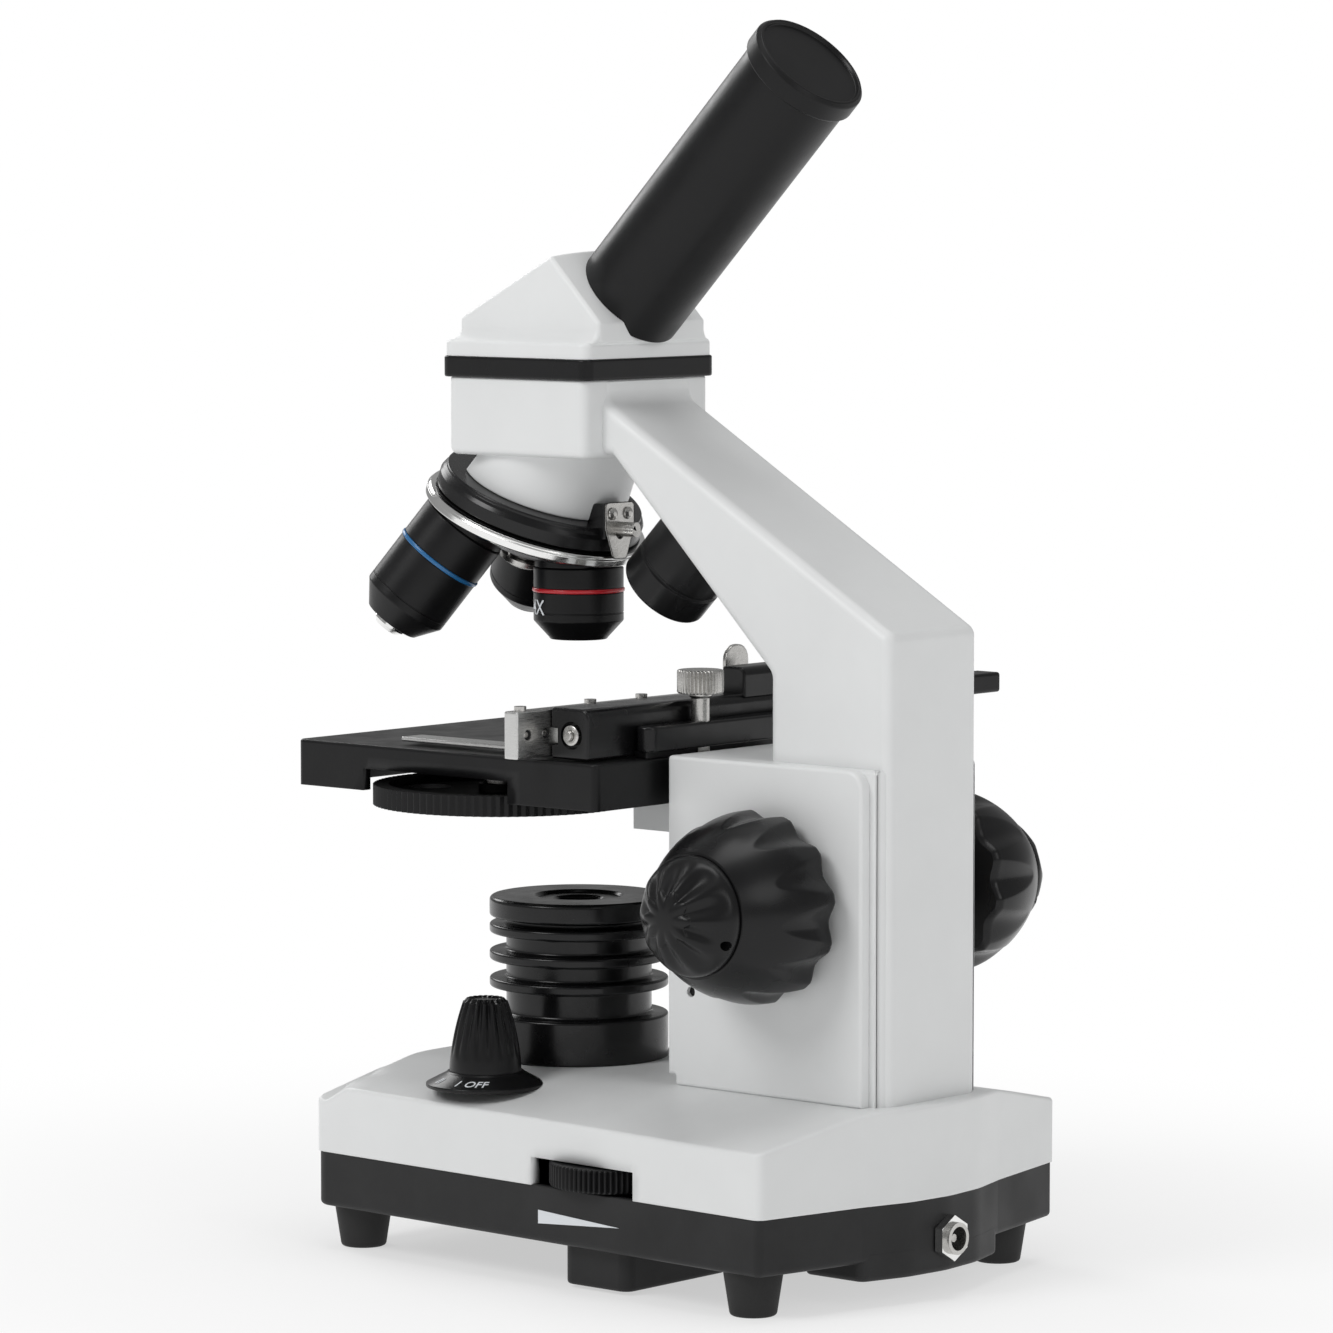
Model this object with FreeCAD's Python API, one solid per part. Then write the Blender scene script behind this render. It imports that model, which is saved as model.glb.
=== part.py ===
import FreeCAD, Part
import math
import os

# Compound student microscope: stand, turret, swivelling head, focusing stage and
# attachable slide holder.  Millimetres.  The origin is the point on the table under
# the optical axis, Z is up, -Y is the stage side and +Y is the arm side.

V = FreeCAD.Vector

# ---- general fits -------------------------------------------------------------
wall = 3.0                # casting wall
running = 0.05            # radial clearance of a turning shaft
gap = 0.3                 # clearance between moving faces
hair = 0.1                # clearance of guided flat faces
screw_r = 1.6             # shank of every small screw

# ---- base ---------------------------------------------------------------------
foot_h = 11.0
foot_top_r = 7.3
foot_bottom_r = 5.6
foot_hole_r = 3.5
seam_z = 24.8             # joint line of tray and cover
shelf_z = 40.5            # top edge of the cover at its long sides
deck_z = 47.5             # platform that carries the pillar
base_front_half = 51.3
base_rear_half = 57.1
base_front_y = -44.4
base_wing_y = 107.0
bulge_half = 26.3
bulge_side_y = 113.7
bulge_y = 119.0
deck_half = 24.0
front_step_y = -35.0
front_step_h = 4.0
base_corner_r = 5.0
tray_inset = 0.5
tray_floor = 2.5
jack_block_drop = 4.5     # the tray is deeper by this much at the jack
front_foot_x = 40.0
front_foot_y = -37.0
rear_foot_x = 47.0
rear_foot_y = 97.0
battery_x0 = 12.0
battery_x1 = 50.0
battery_y0 = 39.0
battery_y1 = 60.0
battery_z = 0.9

# ---- pillar, arm and head block -------------------------------------------------
pillar_half = 19.0
pillar_front_y = 48.5
pillar_back_y = 113.7
pillar_top_z = 128.0
plate_t = 3.0
plate_back_y = 109.3
plate_corner_r = 5.0
cavity_half = 15.0
slot_half = 10.6
slot_bottom_z = 62.0
slot_top_z = 124.5
arm_half = 17.0
arm_front_y = 76.3
arm_front_z = 149.0
arm_back_z = 160.1
block_half = 23.5
block_half_y = 23.0
block_z0 = 199.0
block_z1 = 218.3
arm_root_z = 212.8
arm_edge_r = 3.0

# ---- focus drive ----------------------------------------------------------------
knob_y = 81.0
knob_z = 94.0
coarse_r = 23.3
coarse_inner_x = 24.2
coarse_outer_x = 49.8
far_knob_shift = 14.0
far_collar_r = 9.0
coarse_small_r = 15.2
coarse_flutes = 12
fine_r = 14.5
fine_outer_x = 61.0
fine_tip_r = 7.5
fine_flutes = 10
coarse_shaft_r = 4.0
fine_shaft_r = 2.0
bush_r = 6.5
gear_teeth = 12
gear_module = 0.6
gear_width = 7.0
slide_half = 10.4
slide_y0 = 51.5
slide_z0 = 76.0
slide_z1 = 115.0
guide_y0 = 55.0
guide_y1 = 62.0

# ---- stage ----------------------------------------------------------------------
stage_half = 45.0
stage_front_y = -54.4
stage_back_y = 45.6
stage_top_z = 127.2
stage_skirt_z = 115.7
stage_plate_t = 4.7
stage_skirt_t = 2.6
stage_hole_r = 8.0
notch_margin = 0.8        # free length past the disc at each end of the finger notch
notch_h = 5.5
bracket_half = 10.0
bracket_y = 27.0
bracket_z = 107.5

# ---- disc diaphragm ---------------------------------------------------------------
disc_x = 20.2
disc_y = -7.5
disc_r = 32.3
disc_z0 = 112.2
disc_t = 5.1
disc_knurls = 96
knurl_depth = 0.45
disc_post_r = 3.0
aperture_step = 1.3
aperture_first = 1.4
aperture_count = 6

# ---- slide holder -------------------------------------------------------------------
rail_x0 = -44.0
rail_x1 = 43.0
rail_tail_x = -121.5
rail_y0 = 29.3
rail_y1 = 41.3
rail_z0 = 127.6
rail_z1 = 140.0
tail_z = 133.2
tail_drop = 1.6
tower_x0 = -35.0          # the rail is taller from here, clear of the lever's swing
tower_x1 = -15.5
tower_y0 = 34.0
tower_z1 = 146.6
bar_x0 = -50.0
bar_x1 = 55.0
bar_y0 = 24.8
bar_y1 = 29.1
bar_z0 = 128.0
bar_z1 = 139.6
tongue_z0 = 131.0
tongue_z1 = 135.0
jaw_x0 = 31.0
jaw_x1 = 38.7
jaw_y0 = -25.0
jaw_t = 1.1
holder_y0 = 41.6
holder_y1 = 47.3
holder_x1 = 27.0
holder_z1 = 135.0
holder_foot_t = 1.5
clamp_x = 5.0
clamp_head_r = 5.8
clamp_head_z = 141.8
clamp_head_h = 5.8
clamp_shaft_r = 2.3
guide_x = -63.0
guide_half = 9.0
guide_z0 = 118.0
guide_z1 = 125.5
guide_front_y = 4.0
cross_travel = 25.0
cross_knob_y = 37.0
cross_knob_r = 9.0
cross_knob_h = 10.0
lever_x = -31.0
lever_r = 3.6
lever_t = 1.4

# ---- nosepiece ------------------------------------------------------------------------
tilt = 22.0               # turret axis from the vertical, degrees
apex_z = 218.0            # where the turret axis meets the optical axis
ring_drop = 38.0          # from the apex to the middle of the turret ring, along its axis
ring_r = 28.6
ring_inner_r = 26.6
ring_t = 3.0
drum_r = 26.5
drum_t = 6.2
boss_r = 21.0
stud_r = 4.0
stud_l = 11.02            # from the middle of the ring down
spring_half = 5.0
spring_drop = 12.0        # from the block's underside to the spring's top
spring_l = 13.5
spring_tip_half = 2.2
spring_taper = 6.0        # the leaf is straight for this length
spring_t = 0.5
spring_hole_r = 1.5
spring_screw_x = 2.85
spring_screw_drop = 14.5
spring_screw_r = 0.8
spring_pad_t = 9.0
spring_pad_lift = 4.3
nose_travel = 2.0         # the 40x nose springs in by this much
nose_out = 2.3
nose_r = 4.4
barrel_r = 11.3
thread_r = 8.3
thread_l = 1.4
light_r = 5.5
collar_w = 1.2
collar_r = 11.6

# ---- lamp on the arm ---------------------------------------------------------------------
lamp_r = 11.5
lamp_l = 21.9
lamp_y = 43.7
lamp_bore_r = 9.0
lamp_bore_l = 3.2
lamp_stub_r = 6.0
lamp_stub_l = 4.0

# ---- illuminator -----------------------------------------------------------------------
lamp_house_r = 22.5
lamp_house_top = 88.0
rib_t = 2.4
rib_pitch = 6.8
rib_count = 4
rib_neck_r = 18.3
lamp_house_wall = 4.0
lamp_hole_r = 5.8
lamp_ring_r = 10.3

# ---- head ---------------------------------------------------------------------------------
band_half = 24.4
band_z1 = 223.5
head_half = 20.0
head_foot_half = 24.0
head_foot_z = 227.5
apex_ridge_y = 8.5
apex_ridge_z = 248.5
nose_y = -21.7
nose_z = 232.5
tube_offset = 220.6       # height where the tube axis meets the optical axis
tube_r = 14.1
tube_bore_r = 11.6
passage_step = 1.0
tube_start = 23.2
tube_end = 104.5
cap_r = 15.2
cap_skirt = 3.6
cap_top = 2.0
cap_recess = 0.9
pivot_r = 17.0
pivot_depth = 6.5

# ---- controls ---------------------------------------------------------------------------------
switch_x = 40.0
switch_y = 4.7
switch_z = 44.6
switch_skirt_r = 14.7
switch_body_r = 8.8
switch_tip_r = 4.6
switch_top_z = 66.6
switch_flutes = 10
switch_shaft_r = 3.0
dial_x = 42.5
dial_y = 49.5
dial_r = 16.0
dial_z0 = 25.4
dial_t = 5.8
dial_knurls = 48
dial_post_r = 2.5
window_y0 = 32.6
window_y1 = 66.5
window_z1 = 31.7
mark_lead = 2.1           # the brightness mark starts this far behind the window's front end
mark_l = 27.0
mark_drop = 5.9           # below the seam
mark_h = 3.3
mark_tip = 1.3            # the pointed end is this far below the top
mark_t = 0.15
jack_z = 14.7
jack_r = 3.9
jack_bore_r = 2.9
jack_pin_r = 1.0
jack_len = 13.0
nut_r = 5.6
nut_t = 2.2


def box(x0, x1, y0, y1, z0, z1):
    """Block between two corners."""
    return Part.makeBox(x1 - x0, y1 - y0, z1 - z0, V(x0, y0, z0))


def rod(r, start, direction, length):
    """Cylinder from a point along a direction."""
    return Part.makeCylinder(r, length, start, direction)


def ring(r_out, r_in, start, direction, length):
    """Tube from a point along a direction."""
    return rod(r_out, start, direction, length).cut(rod(r_in, start, direction, length))


def place(plane, offset, a, b):
    """Point (a, b) of a drawing plane at an offset along its normal."""
    if plane == "XY":
        return V(a, b, offset)
    if plane == "YZ":
        return V(offset, a, b)
    return V(a, offset, b)


def sheet(points, plane, offset, radius=0.0):
    """Flat face with its corners rounded by one radius."""
    count = len(points)
    edges = []
    ends = []
    for index in range(count):
        before = V(points[index - 1][0], points[index - 1][1], 0)
        corner = V(points[index][0], points[index][1], 0)
        after = V(points[(index + 1) % count][0], points[(index + 1) % count][1], 0)
        if radius <= 0:
            ends.append((corner, None, corner))
            continue
        back = (before - corner).normalize()
        ahead = (after - corner).normalize()
        half = back.getAngle(ahead) / 2
        reach = radius / math.tan(half)
        centre = corner + (back + ahead).normalize() * (radius / math.sin(half))
        middle = centre + (corner - centre).normalize() * radius
        ends.append((corner + back * reach, middle, corner + ahead * reach))
    for index in range(count):
        first, middle, last = [p and place(plane, offset, p.x, p.y) for p in ends[index]]
        if middle:
            edges.append(Part.Arc(first, middle, last).toShape())
        following = ends[(index + 1) % count][0]
        edges.append(Part.makeLine(last, place(plane, offset, following.x, following.y)))
    return Part.Face(Part.Wire(edges))


def prism(points, plane, low, high, radius=0.0):
    """Straight solid with a drawn outline between two offsets."""
    normal = place(plane, high - low, 0, 0)
    return sheet(points, plane, low, radius).extrude(normal)


def rectangle(a0, a1, b0, b1):
    """Corner points of a rectangle, in order."""
    return [(a0, b0), (a1, b0), (a1, b1), (a0, b1)]


def turned(profile, origin, axis):
    """Solid of revolution; the profile is a list of (radius, distance along the axis)."""
    points = [V(r, 0, h) for r, h in profile]
    face = Part.Face(Part.makePolygon(points + points[:1]))
    solid = face.revolve(V(0, 0, 0), V(0, 0, 1), 360)
    turn = FreeCAD.Rotation(V(0, 0, 1), axis)
    solid.Placement = FreeCAD.Placement(origin, turn)
    return solid


def fuse(shapes):
    """One solid from several that touch or overlap."""
    first = shapes[0].fuse(shapes[1:]) if len(shapes) > 1 else shapes[0]
    return first.removeSplitter()


def mirrored(shape):
    """The shape's copy on the other side of the middle plane."""
    return shape.mirror(V(0, 0, 0), V(1, 0, 0))


def spun(shape, centre, axis, angle):
    """Copy turned about an axis."""
    copy = shape.copy()
    copy.rotate(centre, axis, angle)
    return copy


def corners():
    """The four places where the feet and their screws sit."""
    return [(sx * x, y) for x, y in ((front_foot_x, front_foot_y), (rear_foot_x, rear_foot_y)) for sx in (1, -1)]


def base_outline(inset):
    """Plan of the base, drawn in by an inset."""
    right = [
        (base_front_half - inset, base_front_y + inset),
        (base_rear_half - inset, base_wing_y - inset),
        (bulge_half, bulge_side_y - inset),
        (bulge_half / 2, (bulge_side_y + 3 * bulge_y) / 4 - inset),
        (0, bulge_y - inset),
    ]
    left = [(-x, y) for x, y in reversed(right[:-1])]
    return right + left


def base_block(inset, z0, drop):
    """Base outline raised to the roof of the cover, lowered by a drop."""
    edge = base_rear_half + wall
    slope = (deck_z - shelf_z) / (base_rear_half - deck_half)
    edge_z = deck_z - slope * (edge - deck_half)
    top = deck_z - drop
    block = prism(base_outline(inset), "XY", z0, top)
    front = [e for e in block.Edges if e.BoundBox.YMax < 0 and e.BoundBox.ZLength > 1]
    block = block.makeFillet(base_corner_r - inset / 2, front)
    roof = [(-edge, 0), (edge, 0), (edge, edge_z - drop), (deck_half, top), (-deck_half, top), (-edge, edge_z - drop)]
    step = front_step_y - front_step_h / 2
    low = top - front_step_h
    side = [
        (base_front_y - wall, 0),
        (bulge_y + wall, 0),
        (bulge_y + wall, top),
        (front_step_y + inset, top),
        (step + inset, low),
        (base_front_y - wall, low),
    ]
    block = block.common(prism(roof, "XZ", base_front_y - wall, bulge_y + wall))
    return block.common(prism(side, "YZ", -edge, edge))


def make_base_cover():
    """White cover: a shell with the deck, the switch pad and the dial window."""
    shell = base_block(0, seam_z, 0).cut(base_block(wall, seam_z - wall, wall))
    pad = rod(switch_skirt_r + gap, V(switch_x, switch_y, shelf_z), V(0, 0, 1), switch_z - gap - shelf_z)
    pad = pad.common(base_block(0, seam_z, 0).fuse(
        rod(switch_skirt_r + gap, V(switch_x, switch_y, shelf_z - wall), V(0, 0, 1), deck_z - shelf_z)))
    posts = []
    for x, y in corners():
        post = rod(2 * screw_r + 1, V(x, y, seam_z), V(0, 0, 1), deck_z)
        posts.append(post.common(base_block(0, seam_z, 0)))
    body = fuse([shell, pad] + posts)
    for x, y in corners():
        body = body.cut(rod(screw_r + running, V(x, y, seam_z), V(0, 0, 1), foot_h))
    body = body.cut(box(dial_x, base_rear_half + wall, window_y0, window_y1, seam_z - 1, window_z1))
    body = body.cut(rod(switch_skirt_r + 2 * gap, V(switch_x, switch_y, switch_z - gap), V(0, 0, 1), deck_z))
    body = body.cut(rod(switch_shaft_r + 2, V(switch_x, switch_y, seam_z), V(0, 0, 1), deck_z))
    body = body.cut(rod(light_r, V(0, 0, seam_z), V(0, 0, 1), deck_z))
    body = body.cut(box(-slot_half, slot_half, pillar_front_y + 2 * wall, plate_back_y - 2 * wall, seam_z, deck_z + 1))
    return body


def make_base_tray():
    """Black tray with the jack block and the battery boss."""
    body = prism(base_outline(tray_inset), "XY", foot_h, seam_z)
    front = [e for e in body.Edges if e.BoundBox.YMax < 0 and e.BoundBox.ZLength > 1]
    body = body.makeFillet(base_corner_r - tray_inset / 2, front)
    low = foot_h - jack_block_drop
    plan = prism(base_outline(tray_inset), "XY", low, foot_h)
    drop = plan.common(box(-bulge_half, bulge_half, base_wing_y - 4 * wall, bulge_y, low, foot_h))
    boss = prism(rectangle(battery_x0, battery_x1, battery_y0, battery_y1), "XY", battery_z, foot_h, wall)
    body = fuse([body, drop, boss])
    inner = prism(base_outline(tray_inset + wall), "XY", foot_h + tray_floor, seam_z + 1)
    edge = 2.0
    cell = prism(rectangle(battery_x0 + edge, battery_x1 - edge, battery_y0 + edge, battery_y1 - edge), "XY",
                 battery_z, seam_z, edge)
    pocket = prism(base_outline(tray_inset + wall), "XY", low + tray_floor, foot_h + wall)
    half = bulge_half - wall
    pocket = pocket.common(box(-half, half, base_wing_y - 3 * wall, bulge_y, low, foot_h + wall))
    body = body.cut(inner).cut(cell).cut(pocket)
    for x, y in corners():
        body = body.fuse(rod(2 * screw_r + 1, V(x, y, foot_h), V(0, 0, 1), seam_z - foot_h - gap))
    for x, y in corners():
        body = body.cut(rod(screw_r + running, V(x, y, 0), V(0, 0, 1), seam_z))
    flat = bulge_y - tray_inset - hair
    body = body.cut(rod(nut_r + 1, V(0, flat, jack_z), V(0, 1, 0), wall))
    body = body.cut(rod(jack_r, V(0, flat - jack_len, jack_z), V(0, 1, 0), 2 * jack_len))
    return body.removeSplitter()


def make_rubber_feet():
    """Four tapered feet with a counterbore for their screws."""
    feet = []
    for x, y in corners():
        foot = turned([(0, 0), (foot_bottom_r, 0), (foot_top_r, foot_h), (0, foot_h)], V(x, y, 0), V(0, 0, 1))
        foot = foot.cut(rod(foot_hole_r, V(x, y, 0), V(0, 0, 1), foot_h / 2))
        feet.append(foot.cut(rod(screw_r + running, V(x, y, 0), V(0, 0, 1), foot_h)))
    return Part.makeCompound(feet)


def make_foot_screws():
    """Four pan-head screws from the feet into the cover."""
    screws = []
    head = 2.2
    for x, y in corners():
        shank = rod(screw_r, V(x, y, foot_h / 2 - head), V(0, 0, 1), seam_z - foot_h / 2)
        screws.append(fuse([shank, rod(2 * screw_r, V(x, y, foot_h / 2 - head), V(0, 0, 1), head)]))
    return Part.makeCompound(screws)


def make_battery_door():
    """Door in the battery boss, with a finger groove."""
    edge = 2.0
    inset = edge + hair
    door = prism(rectangle(battery_x0 + inset, battery_x1 - inset, battery_y0 + inset, battery_y1 - inset), "XY",
                 battery_z, battery_z + edge, edge)
    middle = (battery_y0 + battery_y1) / 2
    return door.cut(box(battery_x1 - 4 * edge, battery_x1 - 3 * edge, middle - 2 * edge, middle + 2 * edge, 0,
                        battery_z + edge / 2))


# ---- turret directions ------------------------------------------------------------
slant = math.radians(tilt)
turret_up = V(0, math.sin(slant), math.cos(slant))
turret_back = V(0, math.cos(slant), -math.sin(slant))
apex = V(0, 0, apex_z)
ring_centre = apex - turret_up * ring_drop
seat_distance = apex_z - (ring_centre + turret_back * ring_r - turret_up * (ring_t / 2)).z


def seat_direction(step):
    """Way an objective points: 0 is the working one, 1 and 2 are a third of a turn on."""
    angle = math.radians(120 * step)
    across = turret_back * math.cos(angle) + V(1, 0, 0) * math.sin(angle)
    return turret_up * (-math.cos(slant)) + across * math.sin(slant)


def arm_profile():
    """Side view of the column, the sloped arm and its root in the head block."""
    return [
        (pillar_back_y, deck_z + plate_corner_r),
        (pillar_back_y, arm_back_z),
        (block_half_y + 1, arm_root_z),
        (0, arm_root_z),
        (0, block_z0 + hair),
        (arm_front_y - (block_z0 - arm_front_z), block_z0 + hair),
        (arm_front_y, arm_front_z),
        (arm_front_y, deck_z + plate_corner_r),
    ]


def make_arm_casting():
    """White casting: pillar, column, sloped arm, head block and nosepiece boss."""
    pillar = box(-pillar_half, pillar_half, pillar_front_y, pillar_back_y, deck_z, pillar_top_z)
    column = prism(arm_profile(), "YZ", -arm_half, arm_half)
    block = prism(rectangle(-block_half, block_half, -block_half_y, block_half_y), "XY", block_z0, block_z1,
                  arm_edge_r)
    boss_base = ring_centre + turret_up * (ring_t / 2 + gap + drum_t)
    boss = rod(boss_r, boss_base, turret_up, 2 * boss_r)
    boss = boss.common(box(-boss_r, boss_r, -block_half_y + 1, block_half_y, 0, block_z0 + wall))
    body = fuse([pillar, column, block, boss])
    cavity = box(-cavity_half, cavity_half, slide_y0 + hair, pillar_back_y - 2 * wall, deck_z, slot_top_z)
    cavity = cavity.cut(box(-cavity_half, cavity_half, arm_front_y + 30, pillar_back_y, slot_top_z - 20, pillar_top_z))
    body = body.cut(cavity)
    body = body.cut(box(-slot_half, slot_half, pillar_front_y - 1, guide_y0, slot_bottom_z, slot_top_z))
    body = body.cut(rod(bush_r, V(-pillar_half - 1, knob_y, knob_z), V(1, 0, 0), 2 * pillar_half + 2))
    body = body.cut(rod(light_r + 2, V(0, 0, apex_z - ring_drop - boss_r), V(0, 0, 1), block_z1))
    body = body.cut(rod(pivot_r + running, V(0, 0, block_z1 - pivot_depth), V(0, 0, 1), wall + pivot_depth))
    body = body.cut(rod(lamp_stub_r, lamp_root() - lamp_way() * lamp_stub_l, lamp_way(), lamp_stub_l))
    return body.removeSplitter()


def lamp_root():
    """Middle of the lamp where it meets the arm's underside."""
    return V(0, lamp_y, arm_front_z + arm_front_y - lamp_y)


def lamp_way():
    """The lamp points square out of the arm's underside."""
    return V(0, -1, -1).normalize()


def make_side_plate():
    """Gear-case plate on the pillar's side, with the shaft hole and a small access hole."""
    points = rectangle(pillar_front_y, plate_back_y, deck_z, pillar_top_z)
    plate = prism(points, "YZ", pillar_half, pillar_half + plate_t)
    back = [e for e in plate.Edges if e.BoundBox.YMin > plate_back_y - 1 and e.BoundBox.XLength > 1]
    back = [e for e in back if e.BoundBox.ZMin > knob_z]
    plate = plate.makeFillet(plate_corner_r, back)
    plate = plate.cut(rod(bush_r, V(pillar_half - 1, knob_y, knob_z), V(1, 0, 0), plate_t + 2))
    access = V(pillar_half - 1, pillar_front_y + 2.5 * wall, knob_z - coarse_r)
    return plate.cut(rod(screw_r - gap, access, V(1, 0, 0), plate_t + 2))


def make_shaft_bushes():
    """Two flanged bushes that carry the coarse shaft."""
    x0 = cavity_half
    x1 = pillar_half + plate_t
    start = V(x0, knob_y, knob_z)
    bush = fuse([
        rod(bush_r, start, V(1, 0, 0), x1 - x0),
        rod(bush_r + 1.5, V(x1, knob_y, knob_z), V(1, 0, 0), 1.5),
    ])
    bush = bush.cut(rod(coarse_shaft_r + running, start, V(1, 0, 0), x1))
    return Part.makeCompound([bush, mirrored(bush)])


def make_guide_rails():
    """Two rails in the pillar that guide the focusing slide."""
    rail = box(slide_half + hair, cavity_half, guide_y0, guide_y1, slot_bottom_z, slot_top_z)
    return Part.makeCompound([rail, mirrored(rail)])


def make_nosepiece_base():
    """Fixed drum of the nosepiece with its stud and the pad of the click spring."""
    low = ring_centre + turret_up * (ring_t / 2 + gap)
    drum = rod(drum_r, low, turret_up, drum_t)
    stud_low = ring_centre - turret_up * stud_l
    stud = rod(stud_r, stud_low, turret_up, stud_l + ring_t)
    rear = low + turret_back * drum_r
    pad_y = rear.y + drum_t * math.sin(slant)
    pad = box(-spring_half, spring_half, pad_y - spring_pad_t, pad_y, rear.z + spring_pad_lift,
              block_z0 - spring_drop)
    pad = pad.cut(rod(boss_r, low + turret_up * drum_t, turret_up, boss_r))
    body = fuse([drum, stud, pad])
    body = body.cut(rod(light_r + 2, V(0, 0, 0), V(0, 0, 1), block_z1))
    for x in (-1, 1):
        start = V(x * spring_screw_x, pad_y - 4, spring_screw_z())
        body = body.cut(rod(spring_screw_r, start, V(0, 1, 0), 5))
    return body


def spring_face_y():
    """Face of the pad that the click spring lies on."""
    low = ring_centre + turret_up * (ring_t / 2 + gap)
    return (low + turret_back * drum_r).y + drum_t * math.sin(slant)


def spring_screw_z():
    """Height of the two screws of the click spring."""
    return block_z0 - spring_screw_drop


def make_click_spring():
    """Tapered leaf spring with an oval hole and two screw holes."""
    y = spring_face_y()
    top = block_z0 - spring_drop
    tip = top - spring_l
    half = spring_half
    outline = [(-half, top), (half, top), (half, top - spring_taper), (spring_tip_half, tip), (-spring_tip_half, tip),
               (-half, top - spring_taper)]
    leaf = prism(outline, "XZ", y, y + spring_t)
    middle = (top + tip) / 2
    leaf = leaf.cut(rod(spring_hole_r, V(0, y - 1, middle), V(0, 1, 0), 3))
    for x in (-1, 1):
        start = V(x * spring_screw_x, y - 1, spring_screw_z())
        leaf = leaf.cut(rod(spring_screw_r, start, V(0, 1, 0), 3))
    return leaf


def make_click_spring_screws():
    """Two round-head screws of the click spring."""
    y = spring_face_y()
    screws = []
    for x in (-1, 1):
        start = V(x * spring_screw_x, y - 3.5, spring_screw_z())
        head = V(x * spring_screw_x, y + spring_t, spring_screw_z())
        screws.append(fuse([
            rod(spring_screw_r, start, V(0, 1, 0), 4.5),
            rod(2 * spring_screw_r, head, V(0, 1, 0), 0.9),
        ]))
    return Part.makeCompound(screws)


def make_turret_screw():
    """Screw and washer that hold the turret on its stud."""
    end = ring_centre - turret_up * (ring_drop * 0.29)
    return turned([(0, 0), (stud_r + 2, 0), (stud_r + 2, 1.2), (stud_r, 2.2), (0, 2.2)], end, turret_up * -1)


def make_turret_ring():
    """Chrome ring of the turret."""
    low = ring_centre - turret_up * (ring_t / 2)
    profile = [
        (ring_inner_r, 0), (ring_r - 0.6, 0), (ring_r, 0.6), (ring_r, ring_t - 0.6), (ring_r - 0.6, ring_t),
        (ring_inner_r, ring_t),
    ]
    return turned(profile, low, turret_up)


def make_turret_dish():
    """Conical carrier with three seats for the objectives."""
    rise = math.tan(slant)
    top = ring_t / 2
    inner = stud_r + 1.5
    low = -top - (ring_inner_r - inner) * rise
    profile = [(0, low), (inner, low), (ring_inner_r, -top), (ring_inner_r, top), (0, top)]
    dish = turned(profile, ring_centre, turret_up)
    for step in range(3):
        way = seat_direction(step)
        seat = rod(barrel_r, apex + way * (seat_distance - 6), way, 6)
        limit = rod(ring_inner_r, ring_centre - turret_up * 20, turret_up, 20 + top)
        dish = dish.fuse(seat.common(limit))
    for step in range(3):
        way = seat_direction(step)
        dish = dish.cut(rod(thread_r, apex + way * (seat_distance - thread_l), way, 9))
        dish = dish.cut(rod(light_r, apex, way, seat_distance + 9))
    dish = dish.cut(rod(stud_r + running, ring_centre - turret_up * 30, turret_up, 60))
    return dish.removeSplitter()


def objective_profile(ring_at, shoulder, nose, tip_r):
    """Outline of an objective barrel from its thread to its nose."""
    return [
        (light_r, -thread_l), (thread_r, -thread_l), (thread_r, 0), (barrel_r, 0), (barrel_r, ring_at),
        (barrel_r - 0.5, ring_at), (barrel_r - 0.5, ring_at + collar_w), (barrel_r, ring_at + collar_w),
        (barrel_r, shoulder), (tip_r, nose), (light_r - 1, nose), (light_r - 1, nose - 3), (light_r, nose - 3),
    ]


objectives = {
    "4x": {"step": 0, "ring_at": 5.1, "shoulder": 13.4, "nose": 18.1, "tip_r": 7.1},
    "10x": {"step": 2, "ring_at": 5.6, "shoulder": 20.0, "nose": 26.0, "tip_r": 6.4},
    "40x": {"step": 1, "ring_at": 9.6, "shoulder": 24.7, "nose": 30.4, "tip_r": 7.2},
}


def make_objective(name):
    """Black barrel of one objective."""
    kind = objectives[name]
    way = seat_direction(kind["step"])
    profile = objective_profile(kind["ring_at"], kind["shoulder"], kind["nose"], kind["tip_r"])
    return turned(profile, apex + way * seat_distance, way)


def make_colour_ring(name):
    """Coloured band of one objective."""
    kind = objectives[name]
    way = seat_direction(kind["step"])
    start = apex + way * (seat_distance + kind["ring_at"])
    return ring(collar_r, barrel_r - 0.5, start, way, collar_w)


def make_front_lens(name):
    """Glass in the nose of one objective."""
    kind = objectives[name]
    way = seat_direction(kind["step"])
    start = apex + way * (seat_distance + kind["nose"] - 2.4)
    return rod(light_r - 1, start, way, 1.6)


def make_nose_40x():
    """Sprung nose of the 40x objective: a tube with a rounded metal tip and a collar inside."""
    kind = objectives["40x"]
    way = seat_direction(kind["step"])
    tip = kind["nose"] + nose_out
    profile = [
        (nose_r - 2, -9), (nose_r, -9), (nose_r, kind["nose"] - tip), (nose_r, -1.2), (nose_r - 1.2, 0), (nose_r - 2, 0),
    ]
    return turned(profile, apex + way * (seat_distance + tip), way)


def make_lens_40x():
    """Front glass of the 40x nose."""
    kind = objectives["40x"]
    way = seat_direction(kind["step"])
    tip = kind["nose"] + nose_out
    return rod(nose_r - 2, apex + way * (seat_distance + tip - 2), way, 1.6)


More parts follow.
